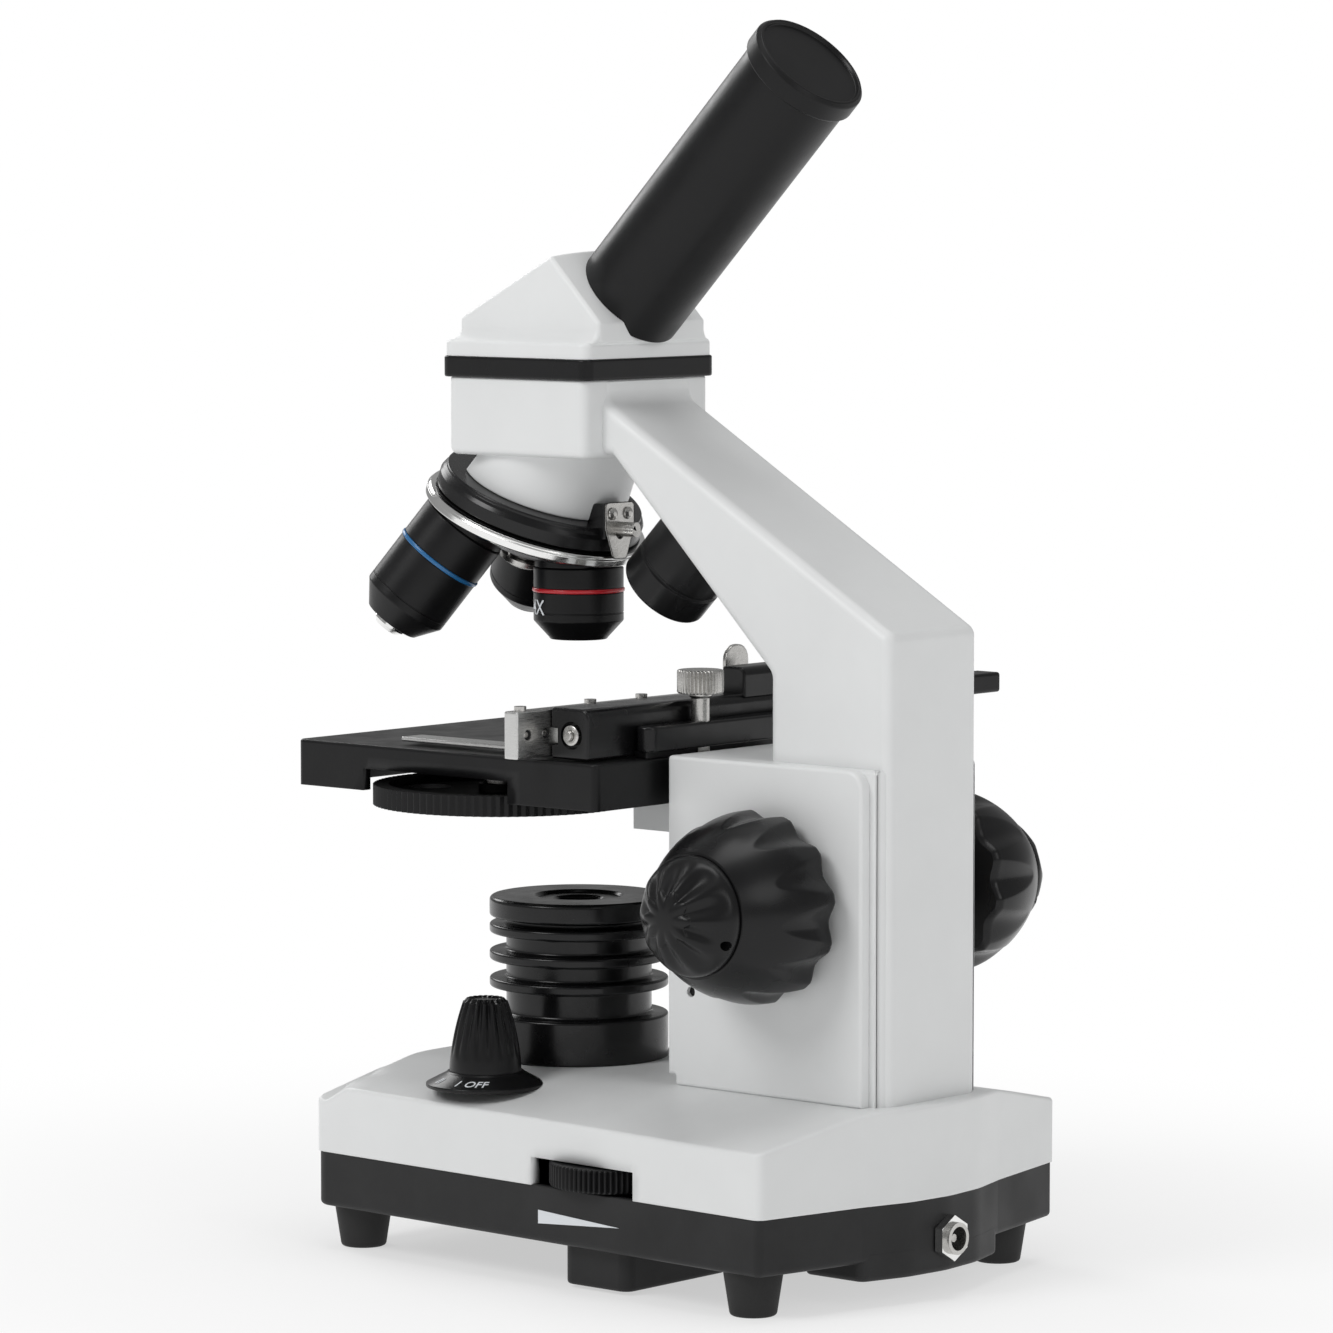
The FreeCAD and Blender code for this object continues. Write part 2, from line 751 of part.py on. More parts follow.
def make_lamp_housing():
    """Round lamp on the arm's underside."""
    way = lamp_way()
    body = turned([
        (0, -lamp_stub_l), (lamp_stub_r, -lamp_stub_l), (lamp_stub_r, 0), (lamp_r, 0), (lamp_r, lamp_l - 8.6),
        (lamp_r - 0.4, lamp_l - 8.3), (lamp_r - 0.4, lamp_l - 8), (lamp_r, lamp_l - 7.7), (lamp_r, lamp_l - 1),
        (lamp_r - 1, lamp_l), (lamp_bore_r, lamp_l), (lamp_bore_r, lamp_l - lamp_bore_l), (lamp_r / 2, lamp_l - lamp_bore_l),
        (lamp_r / 2, lamp_l - 3 * lamp_bore_l), (0, lamp_l - 3 * lamp_bore_l),
    ], lamp_root(), way)
    return body


def make_lamp_lens():
    """Clear window of the arm lamp."""
    way = lamp_way()
    return rod(lamp_bore_r, lamp_root() + way * (lamp_l - lamp_bore_l), way, 1.8)


def make_led_boards():
    """Light-emitting boards of the two lamps."""
    way = lamp_way()
    upper = rod(lamp_r / 2, lamp_root() + way * (lamp_l - 3 * lamp_bore_l), way, 1.5)
    lower = rod(rib_neck_r - lamp_house_wall, V(0, 0, lamp_house_top - 22), V(0, 0, 1), 1.6)
    return Part.makeCompound([upper, lower])


def make_illuminator_housing():
    """Ribbed lamp house on the deck."""
    profile = [(lamp_house_r, deck_z)]
    z = lamp_house_top - rib_count * rib_pitch - 2.3
    profile.append((lamp_house_r, z))
    top = lamp_house_top
    rows = []
    for index in range(rib_count):
        upper = top - index * rib_pitch
        lower = upper - rib_t - (2.6 if index == 0 else 0)
        rows.append((lower, upper if index else top))
    for lower, upper in reversed(rows):
        profile += [(rib_neck_r, profile[-1][1]), (rib_neck_r, lower), (lamp_house_r, lower), (lamp_house_r, upper)]
    inner = rib_neck_r - lamp_house_wall
    shelf = lamp_house_top - 3
    profile += [
        (lamp_ring_r, top), (lamp_ring_r, top - 0.8), (lamp_hole_r, top - 0.8), (lamp_hole_r, shelf), (inner, shelf - 1),
        (inner, top - 22), (inner - 2, top - 22), (inner - 2, deck_z),
    ]
    return turned(profile, V(0, 0, 0), V(0, 0, 1))


def make_illuminator_lens():
    """Plano-convex lens under the hole of the lamp house."""
    shelf = lamp_house_top - 3
    inner = rib_neck_r - lamp_house_wall
    return turned([(0, shelf - 6), (inner, shelf - 6), (inner, shelf - 4), (0, shelf - 1.5)], V(0, 0, 0), V(0, 0, 1))


def make_dc_jack():
    """Panel socket: threaded barrel with a centre pin."""
    flat = bulge_y - tray_inset - hair
    start = V(0, flat - jack_len + nut_t + 1.2, jack_z)
    flange = rod(jack_r + 1.2, start, V(0, 1, 0), jack_len - 3.2 - nut_t - wall)
    body = fuse([rod(jack_r, start, V(0, 1, 0), jack_len), flange])
    body = body.cut(rod(jack_bore_r, start + V(0, 2, 0), V(0, 1, 0), jack_len))
    return fuse([body, rod(jack_pin_r, start, V(0, 1, 0), jack_len - 1.5)])


def make_dc_jack_nut():
    """Hexagon nut of the socket."""
    flat = bulge_y - tray_inset - hair
    points = []
    for index in range(6):
        angle = math.radians(60 * index + 30)
        points.append((nut_r * math.cos(angle), jack_z + nut_r * math.sin(angle)))
    nut = prism(points, "XZ", flat, flat + nut_t)
    return nut.cut(rod(jack_r, V(0, flat - 1, jack_z), V(0, 1, 0), nut_t + 2))


def make_circuit_board():
    """Board with its parts inside the base."""
    z = foot_h + tray_floor + 3
    half = deck_half + 2
    board = box(-half, half, 12, base_wing_y - 20, z, z + 1.6)
    pillars = [rod(2.5, V(x, y, foot_h + tray_floor), V(0, 0, 1), 3) for x in (-half + 4, half - 16) for y in (16, 80)]
    chips = [box(-18, -6, 30, 42, z + 1.6, z + 3.2), box(-16, -4, 55, 72, z + 1.6, z + 6)]
    return fuse([board] + pillars + chips)


def make_brightness_mark():
    """Wedge-shaped brightness mark on the tray's side, under the dial."""
    slope = (base_rear_half - base_front_half) / (base_wing_y - base_front_y)
    y0 = window_y0 + mark_lead
    y1 = y0 + mark_l
    top = seam_z - mark_drop
    x = base_front_half - tray_inset + slope * (y0 - base_front_y)
    mark = prism([(y0, top), (y0, top - mark_h), (y1, top - mark_tip)], "YZ", 0, 2 * dial_x)
    thin = base_outline(tray_inset - mark_t)
    skin = prism(thin, "XY", foot_h, seam_z).cut(prism(base_outline(tray_inset), "XY", foot_h, seam_z))
    return mark.common(skin).common(box(x - 5, x + 5, y0 - 1, y1 + 1, foot_h, seam_z))


def make_switch_body():
    """Rotary switch under the cover, with its threaded neck."""
    top = switch_z - gap
    low = seam_z + 1
    neck = rod(switch_shaft_r + 2, V(switch_x, switch_y, low), V(0, 0, 1), top - low)
    body = fuse([neck, rod(switch_body_r, V(switch_x, switch_y, low), V(0, 0, 1), 10)])
    return body.cut(rod(switch_shaft_r + running, V(switch_x, switch_y, low + 2), V(0, 0, 1), top))


def make_switch_knob():
    """Tapered fluted knob with a conical skirt."""
    z0 = switch_z
    skirt_top = z0 + 3.2
    body = turned([
        (0, z0), (switch_skirt_r, z0), (switch_skirt_r, z0 + 0.9), (switch_body_r + 0.6, skirt_top),
        (switch_body_r, skirt_top + 0.6), (switch_tip_r, switch_top_z - 1), (switch_tip_r - 1, switch_top_z), (0, switch_top_z),
    ], V(switch_x, switch_y, 0), V(0, 0, 1))
    lean = math.degrees(math.atan((switch_body_r - switch_tip_r) / (switch_top_z - skirt_top)))
    flute = rod(1.5, V(switch_x + switch_body_r + 1.0, switch_y, skirt_top + 1), V(0, 0, 1), switch_top_z)
    flute.rotate(V(switch_x + switch_body_r, switch_y, skirt_top), V(0, 1, 0), -lean)
    for index in range(switch_flutes):
        body = body.cut(spun(flute, V(switch_x, switch_y, 0), V(0, 0, 1), 360 * index / switch_flutes))
    shaft = rod(switch_shaft_r, V(switch_x, switch_y, seam_z + 3.5), V(0, 0, 1), z0 - seam_z)
    return fuse([body, shaft])


def toothed(r, depth, count, z0, height, centre, bore):
    """Round wheel with a saw-tooth rim and a bore, upright."""
    points = []
    for index in range(2 * count):
        angle = math.pi * index / count
        radius = r - depth * (index % 2)
        points.append((centre[0] + radius * math.cos(angle), centre[1] + radius * math.sin(angle)))
    wheel = prism(points, "XY", z0, z0 + height)
    return wheel.cut(rod(bore, V(centre[0], centre[1], z0 - 1), V(0, 0, 1), height + 2))


def make_dimmer_wheel():
    """Ribbed thumb wheel of the dimmer."""
    return toothed(dial_r, 0.7, dial_knurls, dial_z0, dial_t, (dial_x, dial_y), dial_post_r + running)


def make_dimmer_post():
    """Potentiometer under the wheel, on the tray floor, with its post."""
    low = foot_h + tray_floor
    z = dial_z0 - gap
    body = box(dial_x - 6, dial_x + 6, dial_y + 4, dial_y + 9, low, z)
    top = box(dial_x - 6, dial_x + 6, dial_y - 5, dial_y + 9, z - 3, z)
    return fuse([body, top, rod(dial_post_r, V(dial_x, dial_y, z - 3), V(0, 0, 1), dial_t + 3)])


def make_head_band():
    """Black band of the head with the round spigot that turns in the block's bore."""
    points = rectangle(-band_half, band_half, -band_half, band_half)
    band = prism(points, "XY", block_z1 + gap, band_z1, arm_edge_r)
    low = block_z1 - pivot_depth + gap
    spigot = rod(pivot_r, V(0, 0, low), V(0, 0, 1), band_z1 - low)
    return fuse([band, spigot]).cut(rod(pivot_r - wall, V(0, 0, low), V(0, 0, 1), band_z1))


def tube_way():
    """The eyepiece tube leans back at 45 degrees."""
    return V(0, 1, 1).normalize()


def tube_point(distance):
    """Point on the tube's axis."""
    return V(0, 0, tube_offset) + tube_way() * distance


def make_head_housing():
    """White wedge of the head with the prism chamber and the tube seat."""
    rear = band_half - 0.4
    slope_end = rear + 1.5
    profile = [
        (-rear, head_foot_z), (rear, head_foot_z), (slope_end, apex_ridge_z + apex_ridge_y - slope_end),
        (apex_ridge_y, apex_ridge_z), (nose_y, nose_z),
    ]
    wedge = prism(profile, "YZ", -head_half, head_half)
    foot = prism(rectangle(-head_foot_half, head_foot_half, -rear, rear), "XY", band_z1, head_foot_z, arm_edge_r)
    bevel = Part.makeLoft([
        Part.makePolygon([V(x, y, head_foot_z) for x, y in rectangle(-head_foot_half + 1, head_foot_half - 1,
                                                                   -rear + 1, rear - 1)] + [V(-head_foot_half + 1, -rear + 1, head_foot_z)]),
        Part.makePolygon([V(x, y, nose_z) for x, y in rectangle(-head_half, head_half, nose_y, rear)]
                         + [V(-head_half, nose_y, nose_z)]),
    ], True, True)
    body = fuse([wedge, foot, bevel])
    chamber = box(-head_half + 2 * wall, head_half - 2 * wall, nose_y + 2 * wall, band_half - 3 * wall, band_z1 - 1,
                  nose_z + 1)
    body = body.cut(chamber)
    body = body.cut(rod(tube_r, tube_point(tube_start), tube_way(), tube_end))
    return body.cut(rod(tube_bore_r - passage_step, tube_point(0), tube_way(), tube_end))


def make_prism():
    """Glass prism that bends the light into the tube."""
    half = head_half - 2 * wall - 1
    low = band_z1 + 0.2
    top = nose_z + 0.8
    points = [(-13, low), (5, low), (8.5, low + 3.5), (1, top), (-9, top)]
    return prism(points, "YZ", -half, half)


def make_eyepiece_tube():
    """Black tube with the standard eyepiece bore."""
    return ring(tube_r, tube_bore_r, tube_point(tube_start), tube_way(), tube_end - tube_start)


def make_dust_cap():
    """Push-on cap over the tube's end, with a recessed top."""
    start = tube_end - cap_skirt
    full = cap_skirt + cap_top
    body = turned([
        (0, cap_skirt + hair), (tube_r + running, cap_skirt + hair), (tube_r + running, 0), (cap_r, 0), (cap_r, full - 0.4),
        (cap_r - 0.4, full), (cap_r - 1.4, full), (cap_r - 1.4, full - cap_recess), (0, full - cap_recess),
    ], tube_point(start), tube_way())
    return body


def make_stage_plate():
    """Black stage with a skirt, a finger notch for the disc and the light hole."""
    body = prism(rectangle(-stage_half, stage_half, stage_front_y, stage_back_y), "XY", stage_skirt_z, stage_top_z, 1.5)
    t = stage_skirt_t
    under = stage_top_z - stage_plate_t
    body = body.cut(box(-stage_half + t, stage_half - t, stage_front_y + t, stage_back_y - t, stage_skirt_z - 1, under))
    half = math.sqrt(disc_r ** 2 - (stage_half - t - disc_x) ** 2) + notch_margin
    body = body.cut(box(0, stage_half + 1, disc_y - half, disc_y + half, stage_skirt_z - 1, stage_skirt_z + notch_h))
    body = body.cut(rod(stage_hole_r, V(0, 0, stage_skirt_z), V(0, 0, 1), stage_top_z))
    body = body.cut(rod(clamp_shaft_r + hair, V(clamp_x, clamp_y(), under - 1), V(0, 0, 1), stage_plate_t + 2))
    for y in (bracket_y + 4, bracket_y + 12):
        body = body.cut(rod(screw_r, V(0, y, under - 1), V(0, 0, 1), stage_plate_t - 1))
    return body


def clamp_y():
    """Middle of the holder bar, where the clamp screw goes through."""
    return (holder_y0 + holder_y1) / 2


def make_stage_bracket():
    """Slide in the pillar with the bracket that carries the stage."""
    under = stage_top_z - stage_plate_t
    rack_y = knob_y - gear_pitch_r() - gear_module
    slide = box(-slide_half, slide_half, slide_y0 + hair, rack_y - 3, slide_z0, slide_z1)
    slide = slide.cut(box(-slide_half - 1, -slide_half + 2, slide_y0 + 1, guide_y0 - hair, slide_z0 - 1, slide_z1 + 1))
    arm = box(-bracket_half, bracket_half, bracket_y, slide_y0 + 2, bracket_z, slide_z1)
    pad = box(-bracket_half, bracket_half, bracket_y, stage_back_y - stage_skirt_t - hair, slide_z1 - 1, under)
    rib = prism([(bracket_y + 8, bracket_z), (slide_y0 + 1, bracket_z), (slide_y0 + 1, bracket_z - 12)], "YZ",
                -wall, wall)
    body = fuse([slide, arm, pad, rib])
    body = body.cut(rod(coarse_shaft_r + 2, V(-slide_half - 1, knob_y, knob_z), V(1, 0, 0), 2 * slide_half + 2))
    for y in (bracket_y + 4, bracket_y + 12):
        body = body.cut(rod(screw_r, V(0, y, under - 8), V(0, 0, 1), 9))
    return body


def make_stage_screws():
    """Two screws that hold the stage on its bracket."""
    under = stage_top_z - stage_plate_t
    return Part.makeCompound([
        rod(screw_r, V(0, y, under - 8), V(0, 0, 1), 8 + stage_plate_t - 2) for y in (bracket_y + 4, bracket_y + 12)
    ])


def gear_pitch_r():
    """Pitch radius of the focusing pinion."""
    return gear_module * gear_teeth / 2


def make_focus_rack():
    """Rack on the slide, in mesh with the pinion."""
    pitch = math.pi * gear_module
    root_y = knob_y - gear_pitch_r() - gear_module
    front_y = root_y + 1.35 * gear_module
    body = box(-gear_width / 2, gear_width / 2, root_y - 3, root_y, slide_z0, slide_z1)
    count = int((slide_z1 - slide_z0) / pitch / 2) - 1
    teeth = []
    for index in range(-count, count + 1):
        z = knob_z + (index + 0.5) * pitch
        if slide_z0 + pitch / 2 < z < slide_z1 - pitch / 2:
            w = pitch * 0.22
            teeth.append(prism([(root_y - 0.2, z - w), (front_y, z - w / 2), (front_y, z + w / 2), (root_y - 0.2, z + w)],
                               "YZ", -gear_width / 2, gear_width / 2))
    return fuse([body] + teeth)


def make_coarse_shaft():
    """Hollow coarse shaft with its pinion."""
    reach = coarse_outer_x - 4
    far_reach = reach + far_knob_shift
    start = V(-far_reach, knob_y, knob_z)
    shaft = rod(gear_pitch_r() - 1.5 * gear_module, V(-gear_width, knob_y, knob_z), V(1, 0, 0), 2 * gear_width)
    shaft = shaft.fuse(rod(coarse_shaft_r, V(gear_width, knob_y, knob_z), V(1, 0, 0), reach - gear_width))
    shaft = shaft.fuse(rod(coarse_shaft_r, start, V(1, 0, 0), far_reach - gear_width))
    root_r = gear_pitch_r() - 1.1 * gear_module
    top_r = gear_pitch_r() + 0.75 * gear_module
    tooth = prism([(root_r - 0.3, -0.42), (top_r, -0.2), (top_r, 0.2), (root_r - 0.3, 0.42)], "YZ",
                  -gear_width / 2 - 1, gear_width / 2 + 1)
    tooth.translate(V(0, knob_y, knob_z))
    teeth = []
    for index in range(gear_teeth):
        teeth.append(spun(tooth, V(0, knob_y, knob_z), V(1, 0, 0), 180 + 360 * index / gear_teeth))
    body = fuse([shaft] + teeth)
    return body.cut(rod(fine_shaft_r + running, start, V(1, 0, 0), reach + far_reach))


def far_side(shape):
    """The same piece on the far side, where the knobs stand further out."""
    copy = mirrored(shape)
    copy.translate(V(-far_knob_shift, 0, 0))
    return copy


def make_coarse_knobs():
    """Two large fluted knobs on the coarse shaft."""
    x0 = coarse_inner_x
    x1 = coarse_outer_x
    step = (x1 - x0) / 4
    knob = turned([
        (coarse_shaft_r, x0), (coarse_r - 1.5, x0), (coarse_r, x0 + 1.5), (coarse_r - 0.3, x0 + step * 1.6),
        (coarse_r - 3.2, x0 + step * 3), (coarse_small_r, x1), (fine_r - 3, x1), (fine_r - 3, x1 - 4), (coarse_shaft_r, x1 - 4),
    ], V(0, knob_y, knob_z), V(1, 0, 0))
    flute_r = 4.6
    lean = 24
    flute = rod(flute_r, V(x0 + step, knob_y, knob_z + coarse_r + flute_r - 1.6), V(1, 0, 0), 2 * (x1 - x0))
    flute.rotate(V(x0 + step, knob_y, knob_z + coarse_r), V(0, 1, 0), lean)
    for index in range(coarse_flutes):
        knob = knob.cut(spun(flute, V(0, knob_y, knob_z), V(1, 0, 0), 360 * index / coarse_flutes))
    far_x = coarse_inner_x + far_knob_shift
    collar = ring(far_collar_r, coarse_shaft_r, V(-far_x, knob_y, knob_z), V(1, 0, 0), far_knob_shift)
    return Part.makeCompound([knob, fuse([far_side(knob), collar])])


def make_fine_shaft():
    """Fine shaft through the coarse shaft."""
    reach = fine_outer_x - 4
    far_reach = reach + far_knob_shift
    return rod(fine_shaft_r, V(-far_reach, knob_y, knob_z), V(1, 0, 0), reach + far_reach)


def make_fine_knobs():
    """Two small fluted knobs on the fine shaft, each with a set-screw hole."""
    x0 = coarse_outer_x + gap
    x1 = fine_outer_x
    reach = x1 - x0
    knob = turned([
        (fine_shaft_r, x0 - 3), (fine_r - 4, x0 - 3), (fine_r - 4, x0), (fine_r, x0), (fine_r - 0.4, x0 + 0.25 * reach),
        (fine_r - 2.6, x0 + 0.62 * reach), (fine_tip_r + 1, x0 + 0.93 * reach), (fine_tip_r - 1, x1), (0, x1), (0, x1 - 4),
        (fine_shaft_r, x1 - 4),
    ], V(0, knob_y, knob_z), V(1, 0, 0))
    flute_r = 3.2
    lean = 34
    flute = rod(flute_r, V(x0 + 0.2 * reach, knob_y, knob_z + fine_r + flute_r - 1.2), V(1, 0, 0), 2 * reach)
    flute.rotate(V(x0 + 0.2 * reach, knob_y, knob_z + fine_r), V(0, 1, 0), lean)
    for index in range(fine_flutes):
        knob = knob.cut(spun(flute, V(0, knob_y, knob_z), V(1, 0, 0), 360 * (index + 0.5) / fine_flutes))
    knob = knob.cut(rod(screw_r - gap, V(x0 + 2.2, knob_y, knob_z), V(0, -1, 0), 2 * fine_r))
    return Part.makeCompound([knob, far_side(knob)])


def make_set_screws():
    """Two set screws of the fine knobs."""
    x = coarse_outer_x + gap + 2.2
    screw = rod(screw_r - gap, V(x, knob_y - fine_shaft_r, knob_z), V(0, -1, 0), 5)
    screw = screw.cut(rod(fine_shaft_r, V(x - 5, knob_y, knob_z), V(1, 0, 0), 10))
    return Part.makeCompound([screw, far_side(screw)])


def make_diaphragm_disc():
    """Knurled disc with six light holes of growing size."""
    disc = toothed(disc_r, knurl_depth, disc_knurls, disc_z0, disc_t, (disc_x, disc_y), disc_post_r + running)
    reach = math.hypot(disc_x, disc_y)
    start = math.degrees(math.atan2(-disc_y, -disc_x))
    for index in range(aperture_count):
        angle = math.radians(start + 360 * index / aperture_count)
        x = disc_x + reach * math.cos(angle)
        y = disc_y + reach * math.sin(angle)
        size = aperture_first + aperture_step * (aperture_count - 1 - index)
        disc = disc.cut(rod(size, V(x, y, disc_z0 - 1), V(0, 0, 1), disc_t + 2))
    rim = 4.0
    recess = rod(disc_r - rim, V(disc_x, disc_y, disc_z0 + disc_t - 2), V(0, 0, 1), 4)
    return disc.cut(recess.cut(rod(2 * disc_post_r, V(disc_x, disc_y, disc_z0), V(0, 0, 1), 2 * disc_t)))


def make_diaphragm_pivot():
    """Shouldered post of the disc, under the stage."""
    under = stage_top_z - stage_plate_t
    low = disc_z0 - gap
    post = rod(disc_post_r, V(disc_x, disc_y, low), V(0, 0, 1), under - low)
    return fuse([
        post, rod(disc_post_r + 2, V(disc_x, disc_y, low - 1.6), V(0, 0, 1), 1.6),
        rod(disc_post_r + 2, V(disc_x, disc_y, disc_z0 + disc_t + gap), V(0, 0, 1), under - disc_z0 - disc_t - gap),
    ])


def make_holder_base():
    """Bar of the slide holder that is clamped on the stage, with the cross guide."""
    foot = box(rail_x0 + 20, holder_x1, holder_y0, stage_back_y, stage_top_z, stage_top_z + holder_foot_t)
    x0 = guide_x - guide_half
    low = stage_top_z + holder_foot_t
    bar = prism(rectangle(x0, holder_x1, holder_y0, holder_y1), "XY", low, holder_z1)
    guide = box(x0, guide_x + guide_half, guide_front_y, holder_y1, guide_z0, guide_z1)
    riser = box(x0, guide_x + guide_half, holder_y0, holder_y1, guide_z0, low + 1)
    body = fuse([foot, bar, guide, riser])
    slot = 2.6
    front = cross_knob_y - cross_travel - 4
    body = body.cut(box(guide_x - slot, guide_x + slot, front, cross_knob_y + 4, guide_z0 - 1, guide_z1 + 1))
    return body.cut(rod(clamp_shaft_r + hair, V(clamp_x, clamp_y(), stage_top_z - 1), V(0, 0, 1), holder_z1))


def make_holder_rail():
    """Black rail that moves across; the slide bar runs along its front."""
    body = box(rail_x0, rail_x1, rail_y0, rail_y1, rail_z0, rail_z1)
    body = body.fuse(box(tower_x0, tower_x1, tower_y0, rail_y1, rail_z1 - wall, tower_z1))
    tail = box(rail_tail_x, rail_x0 + 1, rail_y0 + 2, rail_y1 - 2, tail_z, rail_z1 - tail_drop)
    foot = box(guide_x - guide_half + 2, guide_x + guide_half - 2, rail_y0 + 2, rail_y1 - 2, guide_z1 + hair, tail_z + 1)
    body = fuse([body, tail, foot])
    body = body.cut(box(rail_x0 - 1, rail_x1 + 1, rail_y0 - 1, rail_y0 + 2.2, tongue_z0 - hair, tongue_z1 + hair))
    middle = (rail_y0 + rail_y1) / 2
    body = body.cut(rod(2.4, V(rail_x1 - 1.6, middle + 1, bar_z0 + 5.5), V(1, 0, 0), 4))
    post = rod(2.0, V(guide_x, cross_knob_y, guide_z0 - 4), V(0, 0, 1), guide_z1 - guide_z0 + 6)
    return fuse([body, post, rod(1.3, V(rail_x1 - 6, middle + 1, bar_z0 + 5.5), V(1, 0, 0), 7.5)])


def make_slide_bar():
    """Bright bar with the fixed jaw of the slide holder."""
    body = box(bar_x0, bar_x1, bar_y0, bar_y1, bar_z0, bar_z1)
    tongue = box(bar_x0 + 8, rail_x1 - 2, bar_y1 - 1, rail_y0 + 2, tongue_z0, tongue_z1)
    jaw = box(jaw_x0, jaw_x1, jaw_y0, bar_y0 + 1, bar_z0, bar_z0 + jaw_t)
    body = fuse([body, tongue, jaw])
    for x in (bar_x1 - 3.6, bar_x1 - 10.2):
        body = body.cut(rod(1.1, V(x, bar_y0 - 1, (bar_z0 + bar_z1) / 2), V(0, 1, 0), 8))
    return body.cut(rod(1.6, V(lever_x, (bar_y0 + bar_y1) / 2, bar_z1 - 5), V(0, 0, 1), 6))


def make_bar_screws():
    """Small screws on top of the slide bar."""
    y = (bar_y0 + bar_y1) / 2
    return Part.makeCompound([
        rod(1.5, V(x, y, bar_z1), V(0, 0, 1), 1.1) for x in (bar_x1 - 3.5, bar_x1 - 29, bar_x1 - 48)
    ])


def make_clip_lever():
    """Sprung lever that holds the slide's far end."""
    y = (bar_y0 + bar_y1) / 2
    z = max(bar_z1, rail_z1) + gap
    hub = rod(lever_r, V(lever_x, y, z), V(0, 0, 1), lever_t)
    pin = rod(1.6 - running, V(lever_x, y, bar_z1 - 4.5), V(0, 0, 1), 5)
    arm = prism([(lever_x - 14, y - 2), (lever_x, y - 2), (lever_x, y + 2), (lever_x - 14, y + 2)], "XY", z, z + lever_t)
    reach = box(lever_x - 17, lever_x - 12.5, y - 26, y + 2, z, z + lever_t)
    hook = box(lever_x - 17, lever_x - 15.4, y - 26, y - 19, bar_z0 + jaw_t, z + 1)
    tab = prism([(lever_x + 2, z), (lever_x + 7.5, z), (lever_x + 7, z + 9), (lever_x + 4.6, z + 10.5), (lever_x + 2.4, z + 9)],
                "XZ", y - 0.6, y + 0.6)
    neck = box(lever_x, lever_x + 7, y - 1.6, y + 1.6, z, z + lever_t)
    return fuse([hub, pin, arm, reach, hook, tab, neck])


def make_clamp_screw():
    """Knurled thumb screw that clamps the holder on the stage."""
    low = stage_top_z - stage_plate_t + 1
    shaft = rod(clamp_shaft_r, V(clamp_x, clamp_y(), low), V(0, 0, 1), clamp_head_z - low)
    head = toothed(clamp_head_r, 0.25, 40, clamp_head_z, clamp_head_h, (clamp_x, clamp_y()), 0.5)
    return fuse([shaft, head, rod(1.0, V(clamp_x, clamp_y(), clamp_head_z - 1), V(0, 0, 1), clamp_head_h + 0.6)])


def make_cross_knob(order):
    """One of the two coaxial knobs that hang under the cross guide."""
    top = guide_z0 - 1 - order * (cross_knob_h + 1)
    r = cross_knob_r - 2 * order
    knob = toothed(r, 0.4, 36, top - cross_knob_h, cross_knob_h, (guide_x, cross_knob_y), 0.5)
    knob = knob.fuse(rod(1.0, V(guide_x, cross_knob_y, top - cross_knob_h), V(0, 0, 1), cross_knob_h))
    if order == 0:
        return knob.cut(rod(2.0 + running, V(guide_x, cross_knob_y, top - 4), V(0, 0, 1), 8)).removeSplitter()
    return knob.removeSplitter()


parts = {
    "base_cover": make_base_cover(),
    "base_tray": make_base_tray(),
    "rubber_feet": make_rubber_feet(),
    "foot_screws": make_foot_screws(),
    "battery_door": make_battery_door(),
    "arm_casting": make_arm_casting(),
    "side_plate_right": make_side_plate(),
    "side_plate_left": mirrored(make_side_plate()),
    "shaft_bushes": make_shaft_bushes(),
    "guide_rails": make_guide_rails(),
    "nosepiece_base": make_nosepiece_base(),
    "click_spring": make_click_spring(),
    "click_spring_screws": make_click_spring_screws(),
    "turret_screw": make_turret_screw(),
    "lamp_housing": make_lamp_housing(),
    "lamp_lens": make_lamp_lens(),
    "led_boards": make_led_boards(),
    "illuminator_housing": make_illuminator_housing(),
    "illuminator_lens": make_illuminator_lens(),
    "dc_jack": make_dc_jack(),
    "dc_jack_nut": make_dc_jack_nut(),
    "circuit_board": make_circuit_board(),
    "brightness_mark": make_brightness_mark(),
    "switch_body": make_switch_body(),
    "dimmer_post": make_dimmer_post(),
    "head_housing": make_head_housing(),
    "head_band": make_head_band(),
    "prism": make_prism(),
    "eyepiece_tube": make_eyepiece_tube(),
    "dust_cap": make_dust_cap(),
    "turret_ring": make_turret_ring(),
    "turret_dish": make_turret_dish(),
    "nose_40x": make_nose_40x(),
    "lens_40x": make_lens_40x(),
    "stage_plate": make_stage_plate(),
    "stage_bracket": make_stage_bracket(),
    "stage_screws": make_stage_screws(),
    "focus_rack": make_focus_rack(),
    "diaphragm_pivot": make_diaphragm_pivot(),
    "diaphragm_disc": make_diaphragm_disc(),
    "coarse_shaft": make_coarse_shaft(),
    "coarse_knobs": make_coarse_knobs(),
    "fine_shaft": make_fine_shaft(),
    "fine_knobs": make_fine_knobs(),
    "set_screws": make_set_screws(),
    "holder_base": make_holder_base(),
    "holder_rail": make_holder_rail(),
    "slide_bar": make_slide_bar(),
    "bar_screws": make_bar_screws(),
    "clip_lever": make_clip_lever(),
    "clamp_screw": make_clamp_screw(),
    "cross_knob_upper": make_cross_knob(0),
    "cross_knob_lower": make_cross_knob(1),
    "switch_knob": make_switch_knob(),
    "dimmer_wheel": make_dimmer_wheel(),
    "objective_lenses": Part.makeCompound([make_front_lens("4x"), make_front_lens("10x")]),
}
for name in objectives:
    parts["objective_" + name] = make_objective(name)
parts["colour_rings"] = Part.makeCompound([make_colour_ring(name) for name in objectives])

